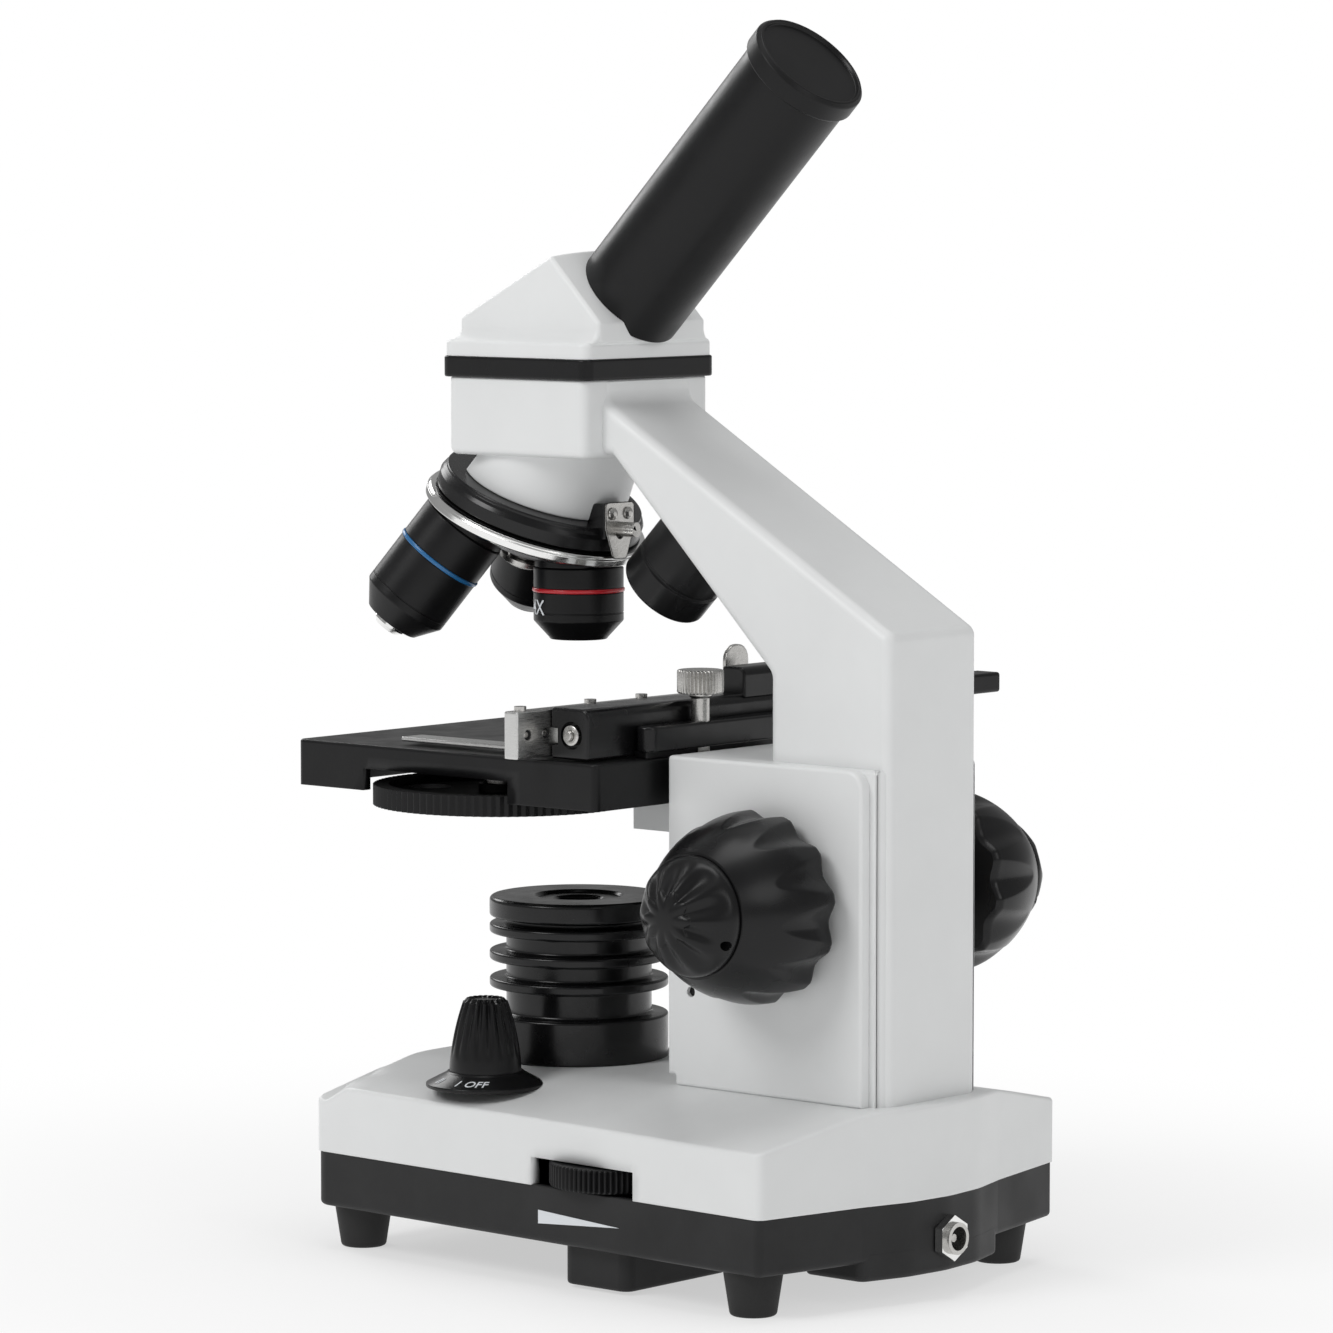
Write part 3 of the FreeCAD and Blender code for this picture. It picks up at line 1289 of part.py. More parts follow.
os.makedirs("parts", exist_ok=True)
for name, shape in parts.items():
    shape.exportStep(os.path.join("parts", name + ".step"))
print(len(parts), "parts")
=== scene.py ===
import math
from types import SimpleNamespace

import bmesh
import bpy
import numpy as np
from bpy.props import FloatProperty, FloatVectorProperty, IntProperty, PointerProperty
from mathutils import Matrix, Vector


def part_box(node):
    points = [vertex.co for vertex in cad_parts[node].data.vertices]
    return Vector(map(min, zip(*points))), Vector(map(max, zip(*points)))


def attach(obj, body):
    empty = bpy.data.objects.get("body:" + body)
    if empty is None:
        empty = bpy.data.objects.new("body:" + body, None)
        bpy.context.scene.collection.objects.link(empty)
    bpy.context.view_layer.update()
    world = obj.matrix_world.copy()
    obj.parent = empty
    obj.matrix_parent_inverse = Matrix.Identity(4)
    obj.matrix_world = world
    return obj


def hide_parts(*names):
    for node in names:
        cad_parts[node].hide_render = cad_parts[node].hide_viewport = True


bl_info = {
    "name": "Student Microscope",
    "version": (1, 0, 0),
    "blender": (4, 5, 0),
    "location": "View3D > Sidebar > Microscope",
    "description": "Builds the outside pieces and finishes of a compound student microscope",
    "category": "Object",
}

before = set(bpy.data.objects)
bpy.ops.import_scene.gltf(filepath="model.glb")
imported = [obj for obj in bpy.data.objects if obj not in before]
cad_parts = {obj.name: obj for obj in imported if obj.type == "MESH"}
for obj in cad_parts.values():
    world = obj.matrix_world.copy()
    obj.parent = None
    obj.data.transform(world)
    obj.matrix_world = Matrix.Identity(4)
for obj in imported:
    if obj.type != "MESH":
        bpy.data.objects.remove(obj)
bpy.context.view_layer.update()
MM = 0.001
X, Y, Z = np.eye(3)
SMOOTH = 38.0        # edges that turn by more than this many degrees are drawn sharp
MERGE = 2e-6         # points closer than this, in metres, become one
HOLD = 0.2           # flat strip beside each rounded corner, which keeps its shading even
QUARTER = np.pi / 2
TRAY_WALL = 2.5
STAGE_WALL = 2.6
LEAN = np.array((0, 1, 1)) / math.sqrt(2)    # the eyepiece tube's axis, which leans back by 45 degrees


def span(node):
    """Lowest and highest corner of a frame node in millimetres."""
    low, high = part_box(node)
    return np.array(low) / MM, np.array(high) / MM


def plan_centre(low, high):
    """Middle of a box seen from above."""
    return ((low + high) / 2)[:2]


def half_width(low, high):
    """Half of a box's size along X, which is the radius of an upright round piece."""
    return (high[0] - low[0]) / 2


# ---- surfaces ---------------------------------------------------------------------------


def rounded_path(points, radii, inset=0.0, closed=True, steps=6, hold=HOLD):
    """Line path with an arc at each corner.  A corner that turns by an angle has its arc's ends at
    radius * tan(angle / 2) from the corner; an inset moves every line to its left by that much,
    which shortens the radius of a left turn and lengthens that of a right turn."""
    p = np.asarray(points, float)
    radii = np.broadcast_to(np.asarray(radii, float), len(p))
    before = np.roll(p, 1, 0)
    after = np.roll(p, -1, 0)
    if not closed:
        before[0] = 2 * p[0] - p[1]
        after[-1] = 2 * p[-1] - p[-2]
    came = (p - before) / np.linalg.norm(p - before, axis=1)[:, None]
    goes = (after - p) / np.linalg.norm(after - p, axis=1)[:, None]
    left = np.stack([-came[:, 1], came[:, 0]], 1)
    left_next = np.stack([-goes[:, 1], goes[:, 0]], 1)
    cross = came[:, 0] * goes[:, 1] - came[:, 1] * goes[:, 0]
    dot = (came * goes).sum(1)
    turn = np.arctan2(cross, dot)
    corner = p + inset * (left + left_next) / (1 + dot)[:, None]
    radius = np.maximum(radii - inset * np.sign(turn), 0.02)
    reach = (radius * np.tan(np.abs(turn) / 2))[:, None]
    start = corner - came * reach
    centre = start + left * (radius * np.sign(turn))[:, None]
    angle = turn[:, None] * np.linspace(0, 1, steps)
    arm = (start - centre)[:, None]
    arcs = centre[:, None] + np.stack([
        np.cos(angle) * arm[..., 0] - np.sin(angle) * arm[..., 1],
        np.sin(angle) * arm[..., 0] + np.cos(angle) * arm[..., 1],
    ], -1)
    blocks = np.concatenate([(start - came * hold)[:, None], arcs,
                             (corner + goes * (reach + hold))[:, None]], 1)
    if closed:
        return blocks.reshape(-1, 2)
    return np.concatenate([p[:1], blocks[1:-1].reshape(-1, 2), p[-1:]])


def divided(path, step, marks=()):
    """Closed path with points added at an even step along it, and where its second coordinate passes a
    mark."""
    ring = np.concatenate([path, path[:1]])
    lengths = np.linalg.norm(np.diff(ring, axis=0), axis=1)
    along = np.concatenate([[0], np.cumsum(lengths)])
    extra = [a + (b - a) * np.arange(1, int(np.ceil((b - a) / step))) / np.ceil((b - a) / step)
             for a, b in zip(along[:-1], along[1:]) if b - a > step]
    for mark in marks:
        low, high = ring[:-1, 1], ring[1:, 1]
        hit = np.nonzero((low - mark) * (high - mark) < 0)[0]
        extra.append(along[hit] + (mark - low[hit]) / (high - low)[hit] * lengths[hit])
    at = np.unique(np.round(np.concatenate([along[:-1]] + extra), 6))
    return np.stack([np.interp(at, along, ring[:, k]) for k in (0, 1)], 1)


def inward(outline):
    """Unit normals of a closed anticlockwise path, square to the chord between each point's neighbours."""
    chord = np.roll(outline, -1, 0) - np.roll(outline, 1, 0)
    return np.stack([-chord[:, 1], chord[:, 0]], 1) / np.linalg.norm(chord, axis=1)[:, None]


def cell_middles(rings):
    """Middle of each cell of a grid of points whose rows close on themselves."""
    beside = np.roll(rings, -1, 1)
    return (rings[:-1] + beside[:-1] + rings[1:] + beside[1:]) / 4


def on_plane(path, plane, height):
    """Path of a drawing plane lifted into space."""
    a, b = path[:, 0], path[:, 1]
    h = np.broadcast_to(height, a.shape)
    order = {"XY": (a, b, h), "YZ": (h, a, b), "XZ": (a, h, b)}
    return np.stack(order[plane], 1)


def slab_rings(points, radii, low, high, ease_low, ease_high, plane="XY", steps=5):
    """Outline stacked between two heights.  At each end the inset and the height follow a quarter
    circle: inset = ease * (1 - sin q) and height = ease * (1 - cos q) from the end."""
    q = np.linspace(0, QUARTER, steps)
    inset, rise = 1 - np.sin(q), 1 - np.cos(q)
    insets = np.concatenate([[ease_low + HOLD], ease_low * inset, [0, 0], ease_high * inset[::-1],
                             [ease_high + HOLD]])
    heights = np.concatenate([[low], low + ease_low * rise, [low + ease_low + HOLD, high - ease_high - HOLD],
                              high - ease_high * rise[::-1], [high]])
    return np.array([on_plane(rounded_path(points, radii, inset=i), plane, h) for i,
                     h in zip(insets, heights)])


def lathe_rings(profile, origin, axis, segments=96, shape=None):
    """Profile of (radius, height) carried round an axis: origin + radius * (cos u, sin u) + height * axis.
    A shape changes the radius as a function of the angle, the radius and the height."""
    axis = np.asarray(axis, float) / np.linalg.norm(axis)
    helper = X if abs(axis[0]) < 0.9 else Y
    first = np.cross(helper, axis)
    first /= np.linalg.norm(first)
    second = np.cross(axis, first)
    profile = np.asarray(profile, float)
    angle = np.linspace(0, 2 * np.pi, segments, endpoint=False)[None, :]
    radius = profile[:, :1] + 0 * angle
    height = profile[:, 1:] + 0 * angle
    if shape:
        radius, height = shape(angle, radius, height)
    around = np.cos(angle)[..., None] * first + np.sin(angle)[..., None] * second
    return np.asarray(origin, float) + radius[..., None] * around + height[..., None] * axis


def shell(name, rings, caps=(True, True), keep=None, closed=True, smooth=SMOOTH):
    """Mesh of a grid of points: each cell is a face, and a cap closes the first and the last ring."""
    rings = np.asarray(rings, float)
    rows, columns = rings.shape[:2]
    index = np.arange(rows * columns).reshape(rows, columns)
    beside = np.roll(index, -1, 1)
    cells = np.stack([index[:-1], beside[:-1], beside[1:], index[1:]], -1)
    if keep is not None:
        cells = cells[keep]
    faces = cells.reshape(-1, 4).tolist()
    if caps[0]:
        faces.append(index[0][::-1].tolist())
    if caps[1]:
        faces.append(index[-1].tolist())
    mesh = bpy.data.meshes.new(name)
    mesh.from_pydata((rings.reshape(-1, 3) * MM).tolist(), [], faces)
    tidy(mesh, closed, smooth)
    return mesh


def tidy(mesh, closed, smooth):
    """Merges doubled points, drops empty faces, points a closed shell outwards and marks sharp edges."""
    bm = bmesh.new()
    bm.from_mesh(mesh)
    bmesh.ops.remove_doubles(bm, verts=bm.verts, dist=MERGE)
    bmesh.ops.dissolve_degenerate(bm, edges=bm.edges, dist=MERGE / 2)
    loose = [v for v in bm.verts if not v.link_faces]
    bmesh.ops.delete(bm, geom=loose, context="VERTS")
    if closed:
        bmesh.ops.recalc_face_normals(bm, faces=bm.faces)
    bm.to_mesh(mesh)
    bm.free()
    mesh.polygons.foreach_set("use_smooth", np.ones(len(mesh.polygons), bool))
    mesh.set_sharp_from_angle(angle=math.radians(smooth))
    mesh.update()


def joined(name, meshes):
    """One mesh from several."""
    bm = bmesh.new()
    for mesh in meshes:
        bm.from_mesh(mesh)
    result = bpy.data.meshes.new(name)
    bm.to_mesh(result)
    bm.free()
    result.polygons.foreach_set("use_smooth", np.ones(len(result.polygons), bool))
    return result


def piece(name, mesh, slot, body, replaced=(), finish=None):
    """Object for a finished mesh: it rides on a body, takes a slot's finish and may stand for frame nodes."""
    obj = bpy.data.objects.new(name, mesh)
    bpy.context.scene.collection.objects.link(obj)
    mesh.materials.append(FINISHES[finish or slot]())
    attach(obj, body)
    if replaced:
        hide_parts(*replaced)
    return obj


def slab(name, points, radii, low, high, ease, slot, body, plane="XY", replaced=(), finish=None):
    """Straight piece with a drawn outline and eased edges at both ends."""
    eases = ease if isinstance(ease, tuple) else (ease, ease)
    rings = slab_rings(points, radii, low, high, *eases, plane=plane)
    return piece(name, shell(name, rings), slot, body, replaced, finish)


def lathe(name, profile, origin, axis, slot, body, replaced=(), segments=96, shape=None, finish=None,
          caps=True):
    """Turned piece."""
    rings = lathe_rings(profile, origin, axis, segments, shape)
    return piece(name, shell(name, rings, caps=(caps, caps)), slot, body, replaced, finish)


def turned_profile(points, radii, steps=5):
    """Open profile with eased corners."""
    return rounded_path(points, radii, closed=False, steps=steps, hold=0.12)


def ring_profile(points, radii, steps=5):
    """Closed profile with eased corners, its first point repeated at the end."""
    path = rounded_path(points, radii, steps=steps, hold=0.1)
    return np.concatenate([path, path[:1]])


def box_points(a0, a1, b0, b1):
    """Corners of a rectangle, anticlockwise."""
    return [(a0, b0), (a1, b0), (a1, b1), (a0, b1)]


def rod_mesh(name, radius, start, axis, length, segments=48):
    """Plain rod that is used to cut a hole."""
    profile = [(0, 0), (radius, 0), (radius, length), (0, length)]
    return shell(name, lathe_rings(profile, start, axis, segments), caps=(False, False))


def block_mesh(name, low, high):
    """Plain block that is used to cut an opening."""
    outline = np.array(box_points(low[0], high[0], low[1], high[1]))
    return shell(name, [on_plane(outline, "XY", low[2]), on_plane(outline, "XY", high[2])])


def walled(obj, thickness, even=False):
    """Gives an open surface a wall on its inner side."""
    solid = obj.modifiers.new("wall", "SOLIDIFY")
    solid.thickness = thickness * MM
    solid.offset = -1.0
    solid.use_quality_normals = even


def settled(obj):
    """New mesh of an object with its modifiers or its text worked out."""
    bpy.context.view_layer.update()
    return bpy.data.meshes.new_from_object(obj.evaluated_get(bpy.context.evaluated_depsgraph_get()))


def bored(obj, cutters):
    """Takes each cutter's space out of a finished piece."""
    for number, cutter in enumerate(cutters):
        tool = bpy.data.objects.new(f"cutter{number}", cutter)
        bpy.context.scene.collection.objects.link(tool)
        modifier = obj.modifiers.new("bore", "BOOLEAN")
        modifier.operation = "DIFFERENCE"
        modifier.solver = "EXACT"
        modifier.object = tool
        mesh = settled(obj)
        obj.modifiers.clear()
        old = obj.data
        obj.data = mesh
        bpy.data.objects.remove(tool)
        bpy.data.meshes.remove(old)
        bpy.data.meshes.remove(cutter)
    obj.data.set_sharp_from_angle(angle=math.radians(SMOOTH))
    return obj


# ---- finishes ---------------------------------------------------------------------------


class Weave:
    """Small helper that lays out one finish's nodes."""

    def __init__(self, name):
        self.material = bpy.data.materials.new(name)
        self.material.use_nodes = True
        self.nodes = self.material.node_tree.nodes
        self.links = self.material.node_tree.links
        self.shader = self.nodes["Principled BSDF"]
        self.place = self.nodes.new("ShaderNodeTexCoord").outputs["Object"]
        self.height = None

    def mapped(self, scale):
        """Object coordinates stretched by a scale on each axis."""
        node = self.nodes.new("ShaderNodeMapping")
        node.inputs["Scale"].default_value = scale
        self.links.new(self.place, node.inputs["Vector"])
        return node.outputs["Vector"]

    def noise(self, scale, detail=3.0, rough=0.5, stretch=None):
        """Cloudy pattern between 0 and 1."""
        node = self.nodes.new("ShaderNodeTexNoise")
        node.inputs["Scale"].default_value = scale
        node.inputs["Detail"].default_value = detail
        node.inputs["Roughness"].default_value = rough
        self.links.new(self.mapped(stretch) if stretch else self.place, node.inputs["Vector"])
        return node.outputs["Fac"]

    def ramp(self, value, low, high, at=(0.3, 0.7)):
        """Colour that runs from one to another as a value rises."""
        node = self.nodes.new("ShaderNodeValToRGB")
        for stop, colour, where in zip(node.color_ramp.elements, (low, high), at):
            stop.color = (*colour, 1)
            stop.position = where
        self.links.new(value, node.inputs["Fac"])
        return node.outputs["Color"]

    def between(self, value, low, high):
        """Value carried from 0.3..0.7 to a range."""
        node = self.nodes.new("ShaderNodeMapRange")
        node.inputs["From Min"].default_value = 0.3
        node.inputs["From Max"].default_value = 0.7
        node.inputs["To Min"].default_value = low
        node.inputs["To Max"].default_value = high
        self.links.new(value, node.inputs["Value"])
        return node.outputs["Result"]

    def bump(self, value, strength, distance):
        """Adds relief to the surface; each call stands on the one before."""
        node = self.nodes.new("ShaderNodeBump")
        node.inputs["Strength"].default_value = strength
        node.inputs["Distance"].default_value = distance
        self.links.new(value, node.inputs["Height"])
        if self.height is not None:
            self.links.new(self.height, node.inputs["Normal"])
        self.height = node.outputs["Normal"]
        self.links.new(self.height, self.shader.inputs["Normal"])

    def colour(self, value):
        """Colour that varies over the surface."""
        self.links.new(value, self.shader.inputs["Base Color"])

    def roughness(self, value):
        """Roughness that varies over the surface."""
        self.links.new(value, self.shader.inputs["Roughness"])

    def fixed(self, **sockets):
        """Numbers that are the same all over the surface."""
        for name, value in sockets.items():
            self.shader.inputs[name.replace("_", " ")].default_value = value


def shade(colour, factor):
    """Colour made lighter or darker by a factor."""
    return tuple(min(1.0, c * factor) for c in colour)


def paint(name, colour, rough, grain=900.0, relief=0.10, drift=0.05, gloss=0.5, spread=0.06):
    """Sprayed enamel: a fine orange-peel relief, a faint drift of tone and a roughness that wanders."""
    made = Weave(name)
    made.colour(made.ramp(made.noise(35, 4, 0.6), shade(colour, 1 - drift), shade(colour, 1 + drift * 0.6)))
    made.roughness(made.between(made.noise(120, 3, 0.6), rough - spread, rough + spread))
    made.bump(made.noise(grain, 2, 0.5), relief, 0.0001)
    made.bump(made.noise(grain * 0.12, 2, 0.4), relief * 0.35, 0.0004)
    made.fixed(Specular_IOR_Level=gloss)
    return made.material


def moulded(name, colour, rough, grain=2600.0, relief=0.25, gloss=0.5):
    """Moulded plastic: spark-eroded grain, with slightly shinier handled spots."""
    made = Weave(name)
    made.colour(made.ramp(made.noise(60, 4, 0.6), shade(colour, 0.85), shade(colour, 1.2)))
    made.roughness(made.between(made.noise(45, 3, 0.5), rough - 0.08, rough + 0.07))
    made.bump(made.noise(grain, 4, 0.7), relief, 0.00006)
    made.fixed(Specular_IOR_Level=gloss)
    return made.material


def metal(name, colour, rough, stretch=(1, 1, 1), streak=1500.0, relief=0.08, drift=0.08):
    """Bare or plated metal: fine tool streaks stretched along an axis, and a breath of tarnish."""
    made = Weave(name)
    made.fixed(Metallic=1.0)
    streaks = made.noise(streak, 4, 0.65, stretch)
    made.colour(made.ramp(made.noise(80, 4, 0.6), shade(colour, 1 - drift), colour))
    made.roughness(made.between(streaks, max(0.03, rough * 0.6), rough * 1.4))
    made.bump(streaks, relief, 0.00004)
    return made.material


def glass(name, colour, rough, ior=1.52):
    """Clear or frosted glass, with a little dust that dulls it in places."""
    made = Weave(name)
    made.fixed(Transmission_Weight=1.0, IOR=ior)
    made.roughness(made.between(made.noise(400, 4, 0.7), rough, rough + 0.06))
    made.colour(made.ramp(made.noise(50, 2), shade(colour, 0.97), colour))
    return made.material


def circuit(name):
    """Solder mask with copper tracks seen through it."""
    made = Weave(name)
    node = made.nodes.new("ShaderNodeTexBrick")
    node.inputs["Scale"].default_value = 120
    node.inputs["Mortar Size"].default_value = 0.05
    node.inputs["Color1"].default_value = (0.01, 0.11, 0.045, 1)
    node.inputs["Color2"].default_value = (0.012, 0.14, 0.055, 1)
    node.inputs["Mortar"].default_value = (0.05, 0.28, 0.1, 1)
    made.links.new(made.place, node.inputs["Vector"])
    made.colour(node.outputs["Color"])
    made.roughness(made.between(made.noise(200), 0.25, 0.4))
    made.bump(node.outputs["Fac"], 0.3, 0.0001)
    return made.material


def palette():
    """The user's colours for the painted and printed surfaces."""
    return bpy.context.scene.scope_colours


FINISHES = {
    "white_paint": lambda: paint("white_paint", palette().white, 0.42, gloss=0.45, drift=0.025),
    "grey_metal": lambda: paint("grey_metal", palette().bracket, 0.45),
    "black_metal": lambda: paint("black_metal", palette().black, 0.36, grain=1500, relief=0.16, gloss=0.26),
    "black_gloss": lambda: paint("black_gloss", palette().black, 0.24, grain=700, relief=0.05, gloss=0.36),
    "black_plastic": lambda: moulded("black_plastic", palette().plastic, 0.40, gloss=0.26),
    "knob_plastic": lambda: moulded("knob_plastic", palette().plastic, 0.30, grain=1800, relief=0.08,
                                    gloss=0.28),
    "tray_plastic": lambda: moulded("tray_plastic", palette().tray, 0.50, grain=1900, relief=0.4, gloss=0.3),
    "rubber": lambda: moulded("rubber", (0.016, 0.016, 0.016), 0.62, grain=1500, relief=0.4, gloss=0.35),
    "chrome": lambda: metal("chrome", (0.88, 0.88, 0.87), 0.13, streak=500, stretch=(1, 1, 6), relief=0.05),
    "steel": lambda: metal("steel", (0.60, 0.59, 0.57), 0.30, stretch=(1, 1, 5), relief=0.12),
    "bar_steel": lambda: metal("bar_steel", (0.66, 0.66, 0.65), 0.30, stretch=(0.15, 6, 6), relief=0.18),
    "aluminium": lambda: metal("aluminium", (0.74, 0.74, 0.74), 0.30, stretch=(0.2, 5, 5), relief=0.15),
    "brass": lambda: metal("brass", (0.70, 0.52, 0.25), 0.25),
    "clear_glass": lambda: glass("clear_glass", (0.93, 0.96, 0.97), 0.02),
    "frosted_glass": lambda: glass("frosted_glass", (0.9, 0.93, 0.94), 0.4),
    "board": lambda: circuit("board"),
    "mark_print": lambda: paint("mark_print", palette().print, 0.5, grain=1500, relief=0.05),
    "ring_paint": lambda: paint("ring_paint", palette().ring_red, 0.3),
    "ring_red": lambda: paint("ring_red", palette().ring_red, 0.25, relief=0.05, gloss=0.6),
    "ring_ochre": lambda: paint("ring_ochre", palette().ring_ochre, 0.25, relief=0.05, gloss=0.6),
    "ring_blue": lambda: paint("ring_blue", palette().ring_blue, 0.25, relief=0.05, gloss=0.6),
    # painted shade: near-black finish for the discs and rings sunk in holes, standing in for the shade inside
    # them
    "painted_hole_shade": lambda: moulded("painted_hole_shade", (0.004, 0.004, 0.004), 0.7),
}
_made = {}


def reuse(key, make):
    """Every finish is made once and shared."""
    def once():
        if key not in _made:
            _made[key] = make()
        return _made[key]
    return once


FINISHES = {key: reuse(key, make) for key, make in FINISHES.items()}


# ---- sizes and colours --------------------------------------------------------------------


def length(name, text, value):
    """Length in metres whose default is given in millimetres."""
    return FloatProperty(name=name, description=text, default=float(value) * MM, unit="LENGTH", precision=5)


def turn(name, text, value):
    """Angle in radians whose default is given in degrees."""
    return FloatProperty(name=name, description=text, default=math.radians(value), subtype="ANGLE")


def tint(name, text, value):
    """Linear colour."""
    return FloatVectorProperty(name=name, description=text, default=value, min=0.0, max=1.0, subtype="COLOR")


def in_mm(group):
    """A group's lengths in millimetres and its other values as they are, by name."""
    found = {}
    for key in type(group).__annotations__:
        value = getattr(group, key)
        found[key] = value / MM if group.bl_rna.properties[key].unit == "LENGTH" else value
    return SimpleNamespace(**found)


cover_low, cover_high = span("base_cover")
tray_low = span("base_tray")[0]
feet_high = span("rubber_feet")[1]
casting_high = span("arm_casting")[1]
plate_low, plate_high = span("side_plate_right")
band_low, band_high = span("head_band")
stage_low, stage_high = span("stage_plate")
coarse_low, coarse_high = span("coarse_knobs")
fine_low, fine_high = span("fine_knobs")
switch_low, switch_high = span("switch_knob")
dial_low, dial_high = span("dimmer_wheel")
house_low, house_high = span("illuminator_housing")
rail_low = span("holder_rail")[0]
clamp_low, clamp_high = span("clamp_screw")
disc_low, disc_high = span("diaphragm_disc")


class ScopeBase(bpy.types.PropertyGroup):
    """Sizes of the base"""
    front_half: length("Front half width", "Half width of the base at its front", 51.3)
    wing_half: length("Rear half width", "Half width of the base at its widest place", cover_high[0])
    front_y: length("Front", "Front face of the base", cover_low[1])
    wing_y: length("Wing", "Place of the widest corners", 107.0)
    crease_half: length("Crease half width", "Half width of the rear bulge", 26.3)
    crease_y: length("Crease", "Place where the rear bulge begins", 113.7)
    back_y: length("Back", "Rearmost point of the base", cover_high[1])
    corner: length("Corner radius", "Radius of the front corners", 5.0)
    edge_z: length("Edge height", "Height of the roof at the sides", 40.5)
    deck_half: length("Deck half width", "Half width of the flat middle of the roof", 24.0)
    step_y: length("Front step", "Place where the roof steps down at the front", -35.0)
    step_drop: length("Step drop", "Height of the front step", 4.0)
    roof_round: length("Roof edge radius", "Radius of the cover's upper edge", 0.9)
    wall: length("Wall", "Thickness of the cover", 3.0)
    window_front: length("Window front", "Front end of the dial window", 32.6)
    window_back: length("Window back", "Rear end of the dial window", 66.5)
    window_top: length("Window top", "Upper edge of the dial window", 31.7)
    tray_inset: length("Tray inset", "How far the tray stands in from the cover", 0.5)
    foot_round: length("Foot radius", "Radius of the feet's lower edge", 0.9)


class ScopeColumn(bpy.types.PropertyGroup):
    """Sizes of the pillar, the arm and the head block"""
    pillar_half: length("Pillar half width", "Half width of the pillar", 19.0)
    plate_back: length("Plate back", "Rear edge of the side plates", plate_high[1])
    arm_half: length("Arm half width", "Half width of the arm", 17.0)
    arm_round: length("Arm edge radius", "Radius along the arm's edges", 2.6)
    arm_front: length("Arm front", "Front face of the upright", 76.3)
    arm_front_z: length("Arm underside", "Height where the underside starts to slope", 149.0)
    arm_back_z: length("Arm back", "Height where the back starts to slope", 160.1)
    arm_root_z: length("Arm root", "Height where the slope meets the head block", 213.2)
    block_half: length("Block half width", "Half width of the head block", 23.5)
    block_half_y: length("Block half depth", "Half depth of the head block", 23.0)
    access_y: length("Access hole place", "Access hole, forward of the shaft", -25.0)
    access_z: length("Access hole height", "Access hole, above the shaft", -23.3)
    block_low: length("Block underside", "Height of the head block's underside", 199.0)
    block_high: length("Block top", "Height of the head block's top", 218.3)


class ScopeHead(bpy.types.PropertyGroup):
    """Sizes of the head, the eyepiece tube and its cap"""
    foot_z: length("Foot height", "Height of the straight lower part of the head", 227.5)
    cove_z: length("Cove height", "Height of the top of the hollow moulding", 230.8)
    half: length("Half width", "Half width of the wedge", 20.0)
    ridge_y: length("Ridge place", "Place of the ridge", 8.5)
    ridge_z: length("Ridge height", "Height of the ridge", 248.5)
    nose_y: length("Nose place", "Front edge of the wedge", -21.7)
    nose_z: length("Nose height", "Height of the wedge's front edge", 233.0)
    crown: length("Crown", "Rise of the ridge in its middle", 1.3)
    tube_start: length("Tube start", "Start of the eyepiece tube along its axis", 23.2)
    tube_end: length("Tube end", "End of the eyepiece tube along its axis", 104.5)
    tube_offset: length("Tube origin", "Height where the tube's axis meets the optical axis", 220.6)
    tube_radius: length("Tube radius", "Outer radius of the eyepiece tube", 14.1)
    bore_radius: length("Bore radius", "Inner radius of the eyepiece tube", 11.6)
    cap_radius: length("Cap radius", "Outer radius of the dust cap", 15.2)


class ScopeTurret(bpy.types.PropertyGroup):
    """Sizes of the nosepiece"""
    tilt: turn("Tilt", "Lean of the turret's axis from the upright", 22.0)
    apex_z: length("Apex", "Height where the turret's axis meets the optical axis", 218.0)
    drop: length("Ring drop", "Distance from the apex to the middle of the ring", 38.0)
    ring_radius: length("Ring radius", "Outer radius of the bright ring", 28.6)
    ring_height: length("Ring height", "Height of the bright ring", 3.0)
    drum_radius: length("Drum radius", "Radius of the fixed drum", 26.5)
    drum_height: length("Drum height", "Height of the fixed drum", 6.2)
    barrel: length("Barrel radius", "Radius of the objective barrels", 11.3)


class ScopeFocus(bpy.types.PropertyGroup):
    """Places and scoops of the focusing knobs"""
    y: length("Shaft place", "Place of the focusing shaft", 81.0)
    z: length("Shaft height", "Height of the focusing shaft", 94.0)
    coarse_flutes: IntProperty(name="Coarse flutes", description="Scoops round a coarse knob", default=12,
                               min=3)
    fine_flutes: IntProperty(name="Fine flutes", description="Scoops round a fine knob", default=10, min=3)
    coarse_depth: length("Coarse scoop depth", "Depth of the scoops at the coarse knob's rim", 2.1)
    fine_depth: length("Fine scoop depth", "Depth of the scoops at the fine knob's tip", 1.7)
    coarse_long: length("Coarse length", "Length of a coarse knob", 25.6)
    screw_turn: turn("Set screw angle", "Direction of the fine knob's set screw about the shaft", -25.0)


class ScopeColours(bpy.types.PropertyGroup):
    """Colours of the painted, moulded and printed surfaces"""
    white: tint("White", "Paint of the castings", (0.80, 0.81, 0.81))
    bracket: tint("Bracket", "Paint of the stage's bracket", (0.62, 0.63, 0.63))
    black: tint("Black", "Enamel of the stage, tube and objectives", (0.006, 0.006, 0.0065))
    plastic: tint("Black plastic", "Plastic of the knobs", (0.007, 0.007, 0.0075))
    tray: tint("Tray", "Plastic of the lower tray", (0.018, 0.018, 0.0185))
    print: tint("Print", "Printed marks", (0.78, 0.81, 0.84))
    ring_red: tint("Red ring", "Band of the low objective", (0.55, 0.02, 0.03))
    ring_ochre: tint("Ochre ring", "Band of the middle objective", (0.42, 0.17, 0.03))
    ring_blue: tint("Blue ring", "Band of the high objective", (0.02, 0.14, 0.34))


